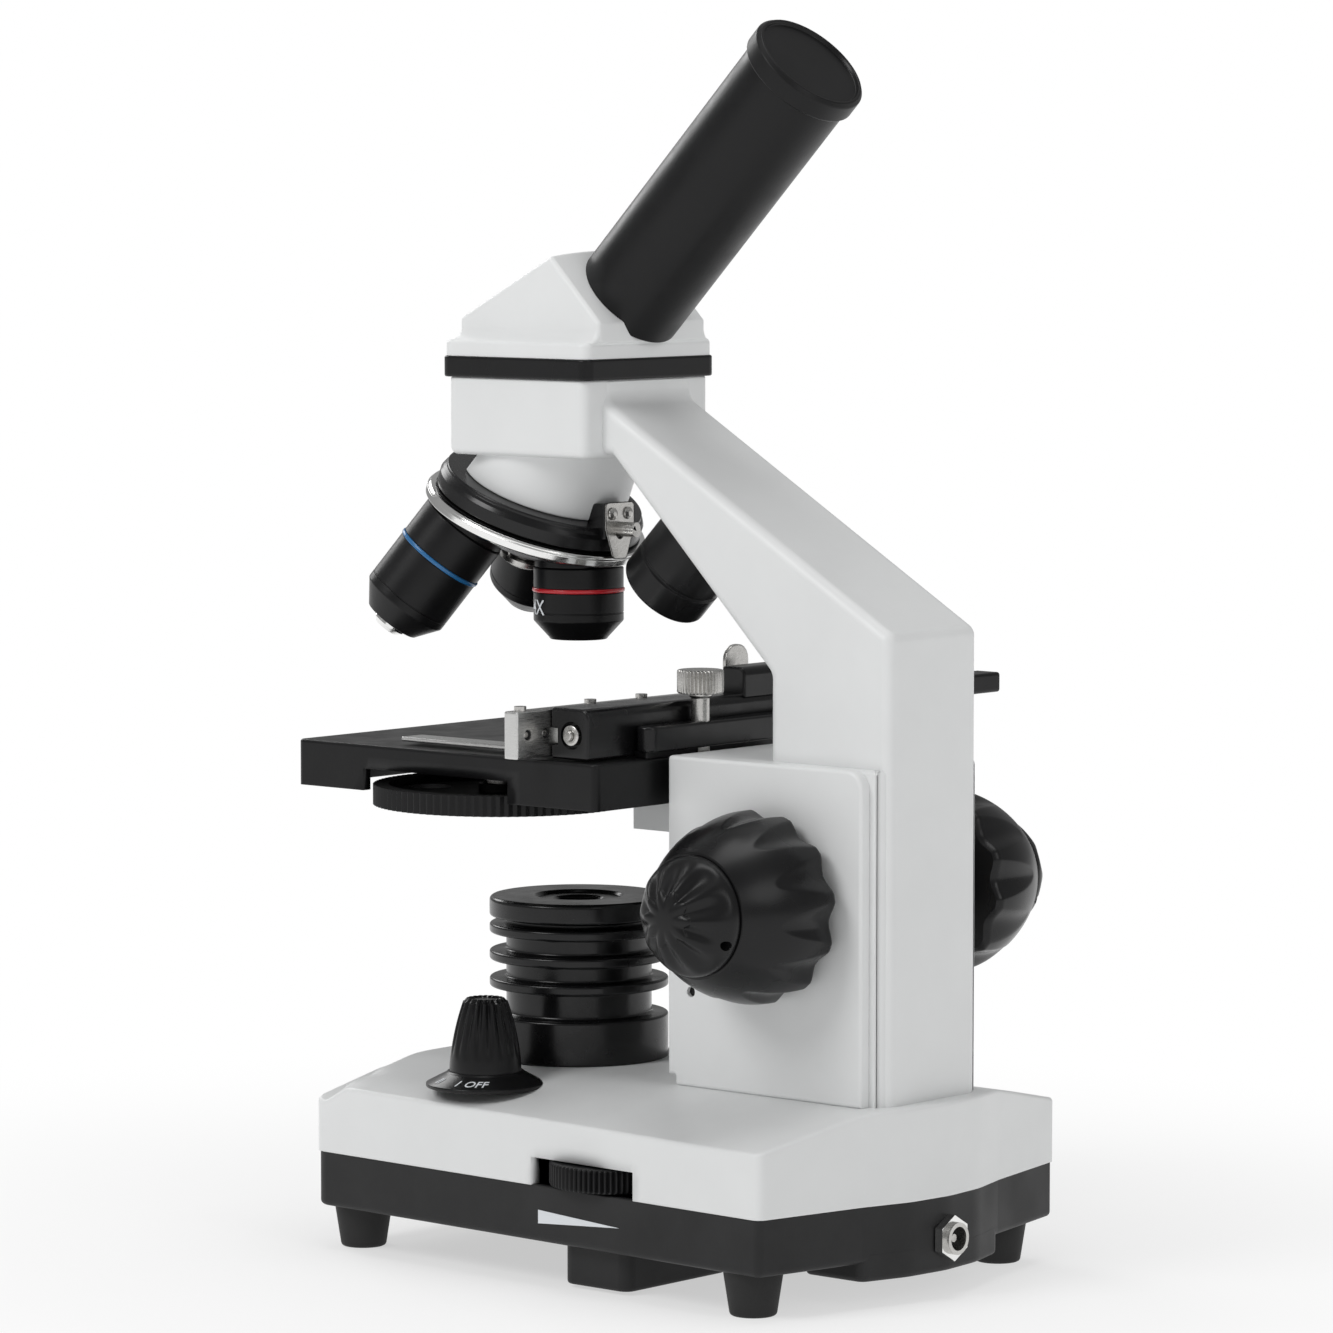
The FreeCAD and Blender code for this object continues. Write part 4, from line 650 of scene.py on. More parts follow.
class ScopeStudio(bpy.types.PropertyGroup):
    """Camera and floor"""
    azimuth: turn("Azimuth", "Direction of the camera round the object", 130.9)
    elevation: turn("Elevation", "Height of the camera above level", 4.9)
    distance: length("Distance", "Distance of the camera", 1553.6)
    lens: FloatProperty(name="Lens", description="Focal length in millimetres", default=167.4, min=10.0)
    aim_side: length("Aim side", "Sideways shift of the aim point", 22.0)
    aim_z: length("Aim height", "Height of the aim point", 145.5)
    floor_half: length("Floor half width", "Half width of the floor", 6000.0)


# ---- base ---------------------------------------------------------------------------------


def base_plan(s):
    """Corners of the base seen from above, anticlockwise from the front right, and their radii."""
    middle = (s.crease_y + 3 * s.back_y) / 4
    right = [(s.front_half, s.front_y), (s.wing_half, s.wing_y), (s.crease_half, s.crease_y),
             (s.crease_half / 2, middle), (0, s.back_y)]
    wing_round, bulge_round = 2.5, 25.0
    radii = [s.corner, wing_round, wing_round, bulge_round, bulge_round]
    left = [(-x, y) for x, y in reversed(right[:-1])]
    return right + left, radii + radii[-2::-1]


def roof_height(s, x, y):
    """Height of the cover: the lower of a level deck and two planes that fall to the sides, with a
    soft crease, less a smooth step near the front."""
    slope = (cover_high[2] - s.edge_z) / (s.wing_half - s.deck_half)
    side = cover_high[2] - slope * (np.abs(x) - s.deck_half)
    deck = cover_high[2] + 0 * x
    softness, step_lead, step_run = 0.12, 1.2, 3.4
    roof = (deck + side) / 2 - np.sqrt(((deck - side) / 2) ** 2 + softness)
    t = np.clip((s.step_y + step_lead - y) / step_run, 0, 1)
    return roof - s.step_drop * t * t * (3 - 2 * t)


def cover_rings(s, plan, radii):
    """Rows of the cover: up the wall, round the upper edge on a quarter circle, then in straight
    lines to the middle line of the base, at the roof's height everywhere."""
    marks = (s.window_front, s.window_back)
    outline = divided(rounded_path(plan, radii, steps=8), 4.0, marks)
    ring = s.roof_round
    spine_margin = 25.0
    rows = []
    edge = roof_height(s, outline[:, 0], outline[:, 1]) - ring
    normal = inward(outline)
    seam = cover_low[2]
    for z in (seam, seam + 0.4, (seam + s.window_top) / 2, s.window_top):
        rows.append(on_plane(outline, "XY", z))
    for t in (0.45, 0.8, 0.97):
        rows.append(on_plane(outline, "XY", s.window_top + (edge - s.window_top) * t))
    for q in np.linspace(0, QUARTER, 7):
        inner = outline + normal * ring * (1 - math.cos(q))
        height = roof_height(s, inner[:, 0], inner[:, 1]) - ring * (1 - math.sin(q))
        rows.append(on_plane(inner, "XY", height))
    inner = outline + normal * ring
    spine = np.stack([0 * inner[:, 0], np.clip(inner[:, 1], s.front_y + spine_margin,
                                               s.wing_y - spine_margin)], 1)
    for t in np.concatenate([[0.006], np.linspace(0.03, 1, 46)]):
        p = inner + (spine - inner) * t
        rows.append(on_plane(p, "XY", roof_height(s, p[:, 0], p[:, 1])))
    return np.array(rows)


def build_cover(s):
    """White cover of the base, a shell with the dial window, and the pad of the switch."""
    plan, radii = base_plan(s)
    rings = cover_rings(s, plan, radii)
    middle = cell_middles(rings)
    window = (
        (middle[..., 0] > s.deck_half)
        & (middle[..., 1] > s.window_front) & (middle[..., 1] < s.window_back)
        & (middle[..., 2] < s.window_top)
    )
    mesh = shell("cover_shell", rings, caps=(False, False), keep=~window, closed=False, smooth=50)
    obj = piece("cover_shell", mesh, "white_paint", "stand", ("base_cover",))
    walled(obj, s.wall, even=True)
    build_switch_pad(s)


def build_switch_pad(s):
    """Round pad under the switch: a flat top, a hollow moulding and a foot cut off by the side wall."""
    centre = plan_centre(switch_low, switch_high)
    radius = half_width(switch_low, switch_high)
    top = switch_low[2] - 0.35
    foot, cove_start, cove_end, depth = radius + 3.6, top - 2.5, top - 6.2, top - 7
    pad = turned_profile([(0, top), (radius + 0.5, top), (radius + 0.9, cove_start), (foot, cove_end),
                          (foot, depth), (0, depth)], [0, 0.6, 3, 0.1, 0.1, 0])
    rings = lathe_rings(pad, (*centre, 0), Z, 128)
    wall = s.front_half + (s.wing_half - s.front_half) * (rings[..., 1] - s.front_y) / (s.wing_y - s.front_y)
    inside_wall, above_seam = 0.15, 4.0
    rings[..., 0] = np.minimum(rings[..., 0], wall - inside_wall)
    rings[..., 2] = np.maximum(rings[..., 2], cover_low[2] + above_seam)
    piece("switch_pad", shell("switch_pad", rings, caps=(False, False)), "white_paint", "stand")


def build_tray(s):
    """Black tray: an open shell under the cover, with the socket's block and the battery boss."""
    plan, radii = base_plan(s)
    low, high = feet_high[2], cover_low[2]
    lower_round = 1.3
    flat = s.tray_inset + lower_round + 0.3
    rows = [(s.tray_inset, z) for z in (high, high - 0.3, (low + high) / 2, low + lower_round + 0.3)]
    for q in np.linspace(0, QUARTER, 6):
        rows.append((s.tray_inset + lower_round * (1 - math.cos(q)), low + lower_round * (1 - math.sin(q))))
    rows.append((flat, low))
    rings = [on_plane(divided(rounded_path(plan, radii, inset=inset, steps=8), 8.0), "XY", z) for inset,
             z in rows]
    mesh = shell("tray_shell", rings, caps=(False, True), closed=False, smooth=50)
    obj = piece("tray_shell", mesh, "black_plastic", "stand", ("base_tray",), finish="tray_plastic")
    bm = bmesh.new()
    bm.from_mesh(obj.data)
    bmesh.ops.reverse_faces(bm, faces=bm.faces)
    bm.to_mesh(obj.data)
    bm.free()
    walled(obj, TRAY_WALL)
    back = s.back_y - s.tray_inset
    crease = s.crease_y - s.tray_inset
    between = (crease + 3 * back) / 4
    half, socket_front, socket_low, socket_top = s.crease_half, s.wing_y - 12, 6.5, low + 2.2
    block = [(-half, socket_front), (half, socket_front), (half, crease), (half / 2, between), (0, back),
             (-half / 2, between), (-half, crease)]
    slab("socket_block", block, [2, 2, 3, 20, 20, 20, 3], socket_low, socket_top, (1.2, 0.1),
         "black_plastic", "stand",
         finish="tray_plastic")
    boss = box_points(12.0, 50.0, 39.0, 60.0)
    door_low, door_high = span("battery_door")
    body = slab("battery_boss", boss, 3.0, tray_low[2], low + 0.6, (0.8, 0.1), "black_plastic", "stand",
                finish="tray_plastic")
    bored(body, [block_mesh("door_space", door_low - (0.1, 0.1, 1.0), door_high + (0.1, 0.1, 0.2))])


FOOT_PLACES = ((40.0, -37.0), (47.0, 97.0))    # feet of one side: the front one and the rear one


def build_feet(s):
    """Four tapered rubber feet with a counterbore."""
    bottom, top, hole, screw_hole = 5.6, 7.3, 3.5, 1.65
    height = feet_high[2]
    profile = ring_profile([(hole, 0), (bottom, 0), (top, height), (screw_hole, height),
                            (screw_hole, height / 2),
                            (hole, height / 2)], [0.3, s.foot_round, 0.2, 0.1, 0.1, 0.1])
    meshes = []
    for side in (-1, 1):
        for x, y in FOOT_PLACES:
            rings = lathe_rings(profile, (side * x, y, 0), Z, 64)
            meshes.append(shell("foot", rings, caps=(False, False)))
    piece("rubber_foot_set", joined("rubber_foot_set", meshes), "rubber", "stand", ("rubber_feet",))


# ---- controls -----------------------------------------------------------------------------


def toothed_rings(centre, radius, depth, count, low, high, ease, per_tooth=8, sharp=1.0):
    """Knurled wheel: radius - depth * (half of 1 + cos(count * u)) ** sharp, eased at both faces."""
    samples = count * per_tooth
    angle = np.linspace(0, 2 * np.pi, samples, endpoint=False)
    wave = (0.5 + 0.5 * np.cos(count * angle)) ** sharp
    q = np.linspace(0, QUARTER, 4)
    heights = np.concatenate([[low], low + ease * (1 - np.cos(q)), high - ease * (1 - np.cos(q[::-1])),
                              [high]])
    insets = np.concatenate([[ease + 0.3], ease * (1 - np.sin(q)), ease * (1 - np.sin(q[::-1])),
                             [ease + 0.3]])
    fade = np.clip(1 - insets / max(ease, 0.01) * 0.9, 0, 1)
    rings = []
    for z, inset, amount in zip(heights, insets, fade):
        r = radius - inset - depth * wave * amount
        rings.append(np.stack([centre[0] + r * np.cos(angle), centre[1] + r * np.sin(angle), z + 0 * r], 1))
    return rings


def build_dimmer():
    """Ribbed thumb wheel of the dimmer."""
    centre, radius = plan_centre(dial_low, dial_high), half_width(dial_low, dial_high)
    rings = toothed_rings(centre, radius, 0.75, 72, dial_low[2], dial_high[2], 0.7, sharp=1.6)
    piece("dimmer_thumb_wheel", shell("dimmer_thumb_wheel", rings), "black_plastic", "dimmer",
          ("dimmer_wheel",))


def build_switch():
    """Rotary switch knob: a fluted bell on a conical skirt with printed positions."""
    centre, skirt = plan_centre(switch_low, switch_high), half_width(switch_low, switch_high)
    base, top = 44.6, switch_high[2]
    shoulder, rim = 3.4, 0.9
    land = 9.9
    cone = turned_profile([(0, base), (skirt, base), (skirt, base + rim), (land, base + shoulder),
                           (land - 0.6, base + 3.9), (0, base + 3.9)], [0, 0.3, 0.35, 0.5, 0.3, 0])
    lathe("switch_skirt", cone, (*centre, 0), Z, "black_plastic", "switch", ("switch_knob",),
          finish="knob_plastic")
    height = np.linspace(0, 1, 40)
    rise = top - base - shoulder
    bell_foot, bell_waist = 8.9, 3.4
    radius = bell_foot - bell_waist * height ** 1.9 - 0.25 * height
    bell = np.stack([radius, base + shoulder + rise * height], 1)
    tip = bell[-1, 0]
    crown = turned_profile([(tip, top - 0.8), (tip - 0.7, top), (tip - 1.5, top - 0.5), (0, top - 0.5)],
                           [0.3, 0.3, 0.3, 0])
    profile = np.concatenate([[(0, base + shoulder)], bell[:-2], crown])
    ribs, rib_depth, plain_centre = 18, 0.85, 3.2

    def flutes(u, r, h):
        """Depth grows from nothing at a fifth of the height to its full value near the top."""
        t = np.clip(((h - base - shoulder) / rise - 0.22) / 0.6, 0, 1)
        edge = np.clip((top - h) / 0.8, 0, 1)
        wave = (0.5 + 0.5 * np.cos(ribs * u)) ** 1.5
        return r - rib_depth * wave * t ** 0.8 * np.clip(edge + 0.6, 0, 1) * (r > plain_centre), h

    lathe("switch_bell", profile, (*centre, 0), Z, "black_plastic", "switch", segments=288, shape=flutes,
          finish="knob_plastic")
    for number, (text, angle) in enumerate(SWITCH_MARKS):
        print_mark(number, text, angle, centre, base, skirt, land)


SWITCH_MARKS = (("OFF", 31.0), ("I", 9.0), ("II", -21.0))    # what each place says and where, in degrees


def print_mark(number, text, angle, centre, base, skirt, land):
    """Letters wrapped round the switch's skirt: across the letters is an angle about its axis, up them
    is the way in along the cone, and the height is the cone's at that radius."""
    size, text_radius, baseline, middle, in_step = 3.4, 12.6, 12.5, 1.2, 0.87
    name = f"switch_mark_{number}"
    letters, faces = flat_text(name, text, size, shear=0.3, weight=0.006)
    at = math.radians(angle) + letters[:, 0] / text_radius
    out = baseline - (letters[:, 1] - middle) * in_step
    high = base + 0.95 + (skirt - out) * (2.5 / (skirt - land)) + 0.03 + letters[:, 2]
    points = np.stack([centre[0] + out * np.cos(at), centre[1] + out * np.sin(at), high], 1)
    add_text(name, points, faces, "mark_print", "switch")


def flat_text(name, text, size, shear=0.0, depth=0.02, weight=0.012):
    """Letters as a thin mesh in the drawing plane: their points in millimetres and their faces."""
    curve = bpy.data.curves.new(name, "FONT")
    curve.body = text
    curve.size = size
    curve.align_x = "CENTER"
    curve.shear = shear
    curve.extrude = depth
    curve.offset = weight * size
    curve.resolution_u = 3
    obj = bpy.data.objects.new(name, curve)
    bpy.context.scene.collection.objects.link(obj)
    mesh = settled(obj)
    points = np.zeros(len(mesh.vertices) * 3)
    mesh.vertices.foreach_get("co", points)
    faces = [list(face.vertices) for face in mesh.polygons]
    bpy.data.objects.remove(obj)
    bpy.data.curves.remove(curve)
    bpy.data.meshes.remove(mesh)
    return points.reshape(-1, 3), faces


def add_text(name, points, faces, slot, body):
    """Letters that have been laid on a surface."""
    mesh = bpy.data.meshes.new(name)
    mesh.from_pydata((points * MM).tolist(), [], faces)
    bm = bmesh.new()
    bm.from_mesh(mesh)
    bmesh.ops.remove_doubles(bm, verts=bm.verts, dist=1e-7)
    bmesh.ops.recalc_face_normals(bm, faces=bm.faces)
    bm.to_mesh(mesh)
    bm.free()
    piece(name, mesh, slot, body)


# ---- focus knobs --------------------------------------------------------------------------


def scoops(u, count, reach, width, depth):
    """Scoops round a knob: depth * reach ** 0.8 * cos(90 degrees * offset / half width) ** 1.3, where the
    half width grows with reach ** 0.4, so that each scoop starts with a rounded end."""
    pitch = 2 * np.pi / count
    offset = (u + pitch / 2) % pitch - pitch / 2
    half = np.maximum(width * np.clip(reach, 0, 1) ** 0.4, 1e-6) * pitch / 2
    hollow = np.cos(np.clip(np.abs(offset) / half, 0, 1) * np.pi / 2) ** 1.3
    return depth * np.clip(reach, 0, 1.2) ** 0.8 * hollow


def side_name(side):
    """The user's word for a side, which is right where X grows."""
    return "right" if side > 0 else "left"


def build_coarse(s, side):
    """Large coarse knob: a dome whose scoops open towards the pillar."""
    x1 = coarse_high[0] if side > 0 else -coarse_low[0]
    x0 = x1 - s.coarse_long
    rim = (coarse_high[2] - coarse_low[2]) / 2
    mouth, recess, shaft, lip = 15.2, 11.5, 4.0, 9.0
    recess_deep, lip_deep = 4.0, 3.0
    t = np.linspace(0, 1, 72)
    dome = rim - (rim - mouth) * np.clip((t - 0.12) / 0.88, 0, 1) ** 2.1
    dome = dome - 1.1 * np.clip(1 - t / 0.07, 0, 1) ** 2
    outer = np.stack([dome, x0 + s.coarse_long * t], 1)
    floor = x1 - recess_deep
    inner = turned_profile([(mouth, x1), (mouth - 0.4, x1 + 0.1), (recess, x1 + 0.1), (recess, floor),
                            (shaft, floor), (shaft, x0 + lip_deep), (lip, x0 + lip_deep), (lip, x0),
                            (dome[0] - 1, x0)], [0.1, 0.2, 0.1, 0.1, 0.1, 0.1, 0.2, 0.3, 0.4])
    profile = np.concatenate([outer, inner, outer[:1]])

    def flute(u, r, h):
        """The scoops are deepest at the inner face and end at two thirds of the length."""
        ends, lead, width = 0.68, 0.1, 0.86
        reach = (ends - (h - x0) / s.coarse_long) / ends
        cut = scoops(u + lead, s.coarse_flutes, reach, width, s.coarse_depth)
        return r - cut * (r > mouth), h

    lathe(f"coarse_knob_{side_name(side)}", profile, (0, s.y, s.z), X * side, "black_plastic", "coarse",
          ("coarse_knobs",), segments=360, shape=flute, caps=False, finish="knob_plastic")
    near = coarse_high[0] - s.coarse_long
    if x0 > near + 1:
        collar = ring_profile([(shaft, near), (lip, near), (lip, x0 + 1), (shaft, x0 + 1)],
                              [0.1, 0.5, 0.1, 0.1])
        lathe("coarse_collar", collar, (0, s.y, s.z), X * side, "black_plastic", "coarse", segments=96,
              caps=False,
              finish="knob_plastic")


def build_fine(s, side):
    """Small fine knob: a blunt dome whose scoops run to its tip."""
    x1 = fine_high[0] if side > 0 else -fine_low[0]
    x0 = (coarse_high[0] if side > 0 else -coarse_low[0]) + 0.3
    base, tip, end_round = 14.5, 7.4, 1.4
    boss, boss_deep, bore = 10.5, 2.8, 2.0
    deep = x1 - x0 - end_round
    t = np.linspace(0, 1, 60)
    dome = base - (base - tip) * np.clip((t - 0.1) / 0.9, 0, 1) ** 1.75
    dome[0] = base - 0.35
    outer = np.stack([dome, x0 + deep * t], 1)
    q = np.linspace(0, QUARTER, 24)[1:]
    end = np.stack([tip * np.cos(q) ** 0.9, x0 + deep + end_round * np.sin(q)], 1)
    back = turned_profile([(0, x0 + 1), (bore, x0 + 1), (bore, x0 - boss_deep), (boss, x0 - boss_deep),
                           (boss, x0),
                           (dome[0], x0)], [0, 0.1, 0.1, 0.3, 0.2, 0.1])
    starts, run, plain_tip = 0.22, 0.55, 2.6
    profile = np.concatenate([back, outer[1:], end])

    def flute(u, r, h):
        """A wave round the knob that grows from the base band to the tip and dies at the axis."""
        reach = np.clip(((h - x0) / deep - starts) / run, 0, 1)
        grow = reach * reach * (3 - 2 * reach)
        wave = (0.5 + 0.5 * np.cos(s.fine_flutes * u)) ** 1.1
        cut = s.fine_depth * grow * wave * np.clip((r - plain_tip) / (tip - plain_tip), 0, 1) ** 0.8
        return np.where(h > x0, r - cut, r), h

    obj = lathe(f"fine_knob_{side_name(side)}", profile, (0, s.y, s.z), X * side, "black_plastic", "fine",
                ("fine_knobs",), segments=320, shape=flute, caps=False, finish="knob_plastic")
    way = Y * math.cos(s.screw_turn) + Z * math.sin(s.screw_turn)
    hole_r, hole_in = 1.25, 8.0
    hole_start = np.array((side * (x0 + 2.8), s.y, s.z)) + way * hole_in
    bored(obj, [rod_mesh("screw_hole", hole_r, hole_start, way, 10)])


# ---- pillar, arm and head block ---------------------------------------------------------------


def build_pillar(s, f):
    """White pillar with the slot and the inner room of the focusing slide; behind the side plates it is
    a little narrower."""
    half, front, back = s.pillar_half, plate_low[1], casting_high[1] - 1.2
    seam, step, step_deep = s.plate_back + 1.6, 0.35, 0.25
    narrow = half - step
    plan = [(-half, front), (half, front), (half, seam), (narrow, seam + step_deep), (narrow, back),
            (-narrow, back), (-narrow, seam + step_deep), (-half, seam)]
    low = cover_high[2] - SUNK
    top = plate_high[2]
    obj = slab("pillar_casting", plan, [1.0, 1.0, 0.05, 0.05, 2.8, 2.8, 0.05, 0.05], low, top, (0.1, 1.0),
               "white_paint", "stand", replaced=("arm_casting",))
    slot_half, slot_low, slot_back = 10.6, 62.0, 58.0
    slot = block_mesh("slot", (-slot_half, front - 3, slot_low), (slot_half, slot_back, WELL_TOP + 0.1))
    bored(obj, [slot, *gear_space(s, f), access_hole(s, f, 1), access_hole(s, f, -1)])


SUNK = 2.0           # how far the pillar and the arm reach into the base
WELL_TOP = 124.4     # top of the room for the slide, above the slide's highest place
BUSH_R = 6.55        # hole for the coarse shaft's bushes
ACCESS_R = 1.3       # hole in the gear case


def gear_space(s, f):
    """Room inside the pillar for the slide and the shaft."""
    half = s.pillar_half + 3
    well_half, well_front, well_back = 15.0, 51.6, 106.0
    well = block_mesh("well", (-well_half, well_front, cover_high[2] + 1), (well_half, well_back, WELL_TOP))
    return [well, rod_mesh("bore", BUSH_R, (-half, f.y, f.z), X, 2 * half)]


def access_hole(s, f, side):
    """Small round hole in the gear case, in front of and below the knobs."""
    start = (side * (s.pillar_half - 6), f.y + s.access_y, f.z + s.access_z)
    return rod_mesh("access", ACCESS_R, start, X * side, 14)


def build_arm(s, f):
    """White arm: the upright's upper part and the slope to the head block, with eased edges."""
    low = cover_high[2] - SUNK
    front, back = s.arm_front, casting_high[1]
    under, over = s.block_low + 0.9, s.block_high - 0.4
    rear = s.block_half_y + 0.2
    side = [(front, low), (back, low), (back, s.arm_back_z), (rear, s.arm_root_z), (rear, over),
            (0, over), (0, under), (front - (under - s.arm_front_z), under), (front, s.arm_front_z)]
    obj = slab("arm_slope", side, [0.1, 0.1, 3.0, 4.0, 0.1, 0.1, 0.1, 0.1, 3.0], -s.arm_half, s.arm_half,
               s.arm_round,
               "white_paint", "stand", plane="YZ")
    bored(obj, gear_space(s, f))


def build_block(s, t):
    """Head block under the swivelling head, and the nosepiece's boss below it."""
    plan = box_points(-s.block_half, s.block_half, -s.block_half_y, s.block_half_y)
    slab("head_block", plan, 2.6, s.block_low, s.block_high, (1.8, 0.5), "white_paint", "stand")
    up, _, centre = turret_axes(t)
    base = centre + up * (t.ring_height / 2 + 0.3 + t.drum_height)
    boss, boss_high = 21.0, 20.0
    profile = turned_profile([(0, 0), (boss, 0), (boss, boss_high), (0, boss_high)], [0, 0.5, 0.3, 0])
    rings = lathe_rings(profile, base, up, 128)
    rings[..., 1] = np.clip(rings[..., 1], 1.0 - s.block_half_y, s.block_half_y - 1.0)
    rings[..., 2] = np.minimum(rings[..., 2], s.block_low + 3)
    piece("nosepiece_boss", shell("nosepiece_boss", rings), "white_paint", "stand")


def build_plates(s, f):
    """Side plates of the gear case, each with a small access hole and a near-black disc sunk in it as the
    hole's painted shade.
    """
    for side in (-1, 1):
        name = side_name(side)
        low, high = span(f"side_plate_{name}")
        front, back, foot = low[1], high[1], low[2] - 0.2
        notch, notch_top = front + 2.3, foot + 2.6
        outline = [(notch, foot), (back, foot), (back, high[2]), (front, high[2]), (front, notch_top),
                   (notch, notch_top)]
        eases = (0.1, 0.9) if side > 0 else (0.9, 0.1)
        obj = slab(f"gear_plate_{name}", outline, [0.3, 0.3, 4.5, 0.9, 0.3, 0.4], *sorted((low[0], high[0])),
                   eases,
                   "white_paint", "stand", plane="YZ", replaced=(f"side_plate_{name}",))
        shaft = rod_mesh("shaft", BUSH_R, (side * (s.pillar_half - 2), f.y, f.z), X * side, 8)
        bored(obj, [access_hole(s, f, side), shaft])
        # painted shade: a near-black disc sunk in the access hole, in place of the shade inside it
        start = np.array((side * (s.pillar_half + 1), f.y + s.access_y, f.z + s.access_z))
        r, long = ACCESS_R - 0.02, 0.9
        shade_disc = turned_profile([(0, 0), (r, 0), (r, long), (0, long)], [0, 0.1, 0.1, 0])
        lathe(f"access_hole_shade_{name}", shade_disc, start, X * side, "black_metal", "stand", segments=24,
              finish="painted_hole_shade")


# ---- lamps ----------------------------------------------------------------------------------


def build_illuminator():
    """Ribbed lamp house with a recessed ring round its light hole."""
    radius, neck, low, top = 22.5, 18.3, house_low[2], house_high[2]
    rib, pitch, count, deep_rib = 2.4, 6.8, 4, 2.6
    inside, rim, step, window, light_hole = 14.3, 11.2, 10.6, 6.6, 5.8
    points = [(inside, low), (radius, low), (radius, top - count * pitch - 2.3)]
    eases = [0.1, 0.2, 0.6]
    for number in reversed(range(count)):
        upper = top - number * pitch
        lower = upper - rib - (0 if number else deep_rib)
        points += [(neck, points[-1][1]), (neck, lower), (radius, lower), (radius, upper)]
        eases += [0.8, 0.8, 0.6, 0.6 if number else 1.1]
    points += [(rim, top), (step, top - 0.8), (window, top - 0.8), (light_hole, top - 1.4),
               (light_hole, top - 3),
               (inside, top - 4)]
    eases += [0.4, 0.3, 0.3, 0.2, 0.1, 0.1]
    lathe("lamp_house", ring_profile(points, eases), (0, 0, 0), Z, "black_metal", "stand",
          ("illuminator_housing",),
          segments=160, caps=False, finish="black_gloss")


def build_arm_lamp(s):
    """Round lamp under the arm, with a seam and a recessed window."""
    root_y = 43.7
    root = np.array((0, root_y, s.arm_front_z + s.arm_front - root_y))
    r, long, seam, seam_deep = 11.5, 21.9, 21.9 - 8.3, 0.45
    mouth, window, mouth_deep, window_deep = 9.1, 5.8, 3.2, 9.0
    points = [(0, -3), (r, -3), (r, seam - 0.6), (r - seam_deep, seam - 0.2), (r - seam_deep, seam + 0.2),
              (r, seam + 0.6), (r, long), (mouth, long), (mouth, long - mouth_deep),
              (window, long - mouth_deep),
              (window, long - window_deep), (0, long - window_deep)]
    eases = [0, 0.1, 0.15, 0.1, 0.1, 0.15, 0.9, 0.4, 0.2, 0.3, 0.1, 0]
    lathe("arm_lamp", turned_profile(points, eases), root, -LEAN, "black_plastic", "stand", ("lamp_housing",),
          segments=128, caps=False, finish="knob_plastic")


# ---- nosepiece ------------------------------------------------------------------------------


def turret_axes(t):
    """Upward axis of the turret, its rearward direction and the middle of its ring."""
    up = np.array((0, math.sin(t.tilt), math.cos(t.tilt)))
    back = np.array((0, math.cos(t.tilt), -math.sin(t.tilt)))
    return up, back, np.array((0, 0, t.apex_z)) - up * t.drop


def seat(t, step):
    """Where an objective screws in and the way that it points: 0 is the working place."""
    up, back, centre = turret_axes(t)
    angle = math.radians(120 * step)
    across = back * math.cos(angle) + X * math.sin(angle)
    way = across * math.sin(t.tilt) - up * math.cos(t.tilt)
    distance = t.apex_z - (centre + back * t.ring_radius - up * (t.ring_height / 2))[2]
    return np.array((0, 0, t.apex_z)) + way * distance, way


def build_turret(t):
    """Fixed drum with its click spring, bright turning ring, black carrier and the objectives' seats."""
    up, back, centre = turret_axes(t)
    low = centre + up * (t.ring_height / 2 + 0.3)
    r, h = t.drum_radius, t.drum_height
    neck = r - 1.1
    drum = turned_profile([(0, 0), (r - 0.6, 0), (r, 0.5), (r, h - 2.6), (r - 0.5, h - 1.6), (neck, h - 0.9),
                           (neck, h), (0, h)], [0, 0.2, 0.2, 0.4, 0.3, 0.3, 0.4, 0])
    lathe("nosepiece_drum", drum, low, up, "black_metal", "stand", ("nosepiece_base",), segments=160,
          finish="black_gloss")
    build_click_spring((low + back * r)[2])
    stud_r, stud_low, stud_high = 4.0, -11.0, 2.0
    stud = turned_profile([(0, stud_low), (stud_r, stud_low), (stud_r, stud_high), (0, stud_high)],
                          [0, 0.3, 0.1, 0])
    lathe("turret_stud", stud, centre, up, "steel", "stand", segments=64)
    ring, outer = t.ring_height / 2, t.ring_radius
    groove = outer - 0.35
    profile = ring_profile([(outer - 2.0, -ring), (outer - 0.5, -ring), (outer, -ring + 0.5),
                            (outer, ring - 0.9),
                            (groove, ring - 0.7), (groove, ring - 0.4), (outer - 0.7, ring),
                            (outer - 2.0, ring)],
                           [0.1, 0.3, 0.3, 0.1, 0.1, 0.1, 0.2, 0.1])
    lathe("turret_bright_ring", profile, centre, up, "chrome", "turret", ("turret_ring",), segments=192,
          caps=False)
    hub, dish_low = 5.6, -ring - 8.5
    carrier = turned_profile([(0, ring), (outer - 2.1, ring), (outer - 2.1, -ring - 0.4),
                              (outer - 4, -ring - 1.4),
                              (hub, dish_low), (0, dish_low)], [0, 0.1, 0.4, 0.8, 0.5, 0])
    lathe("turret_carrier", carrier, centre, up, "black_metal", "turret", ("turret_dish",), segments=160)
    for step in range(3):
        build_seat(t, step)


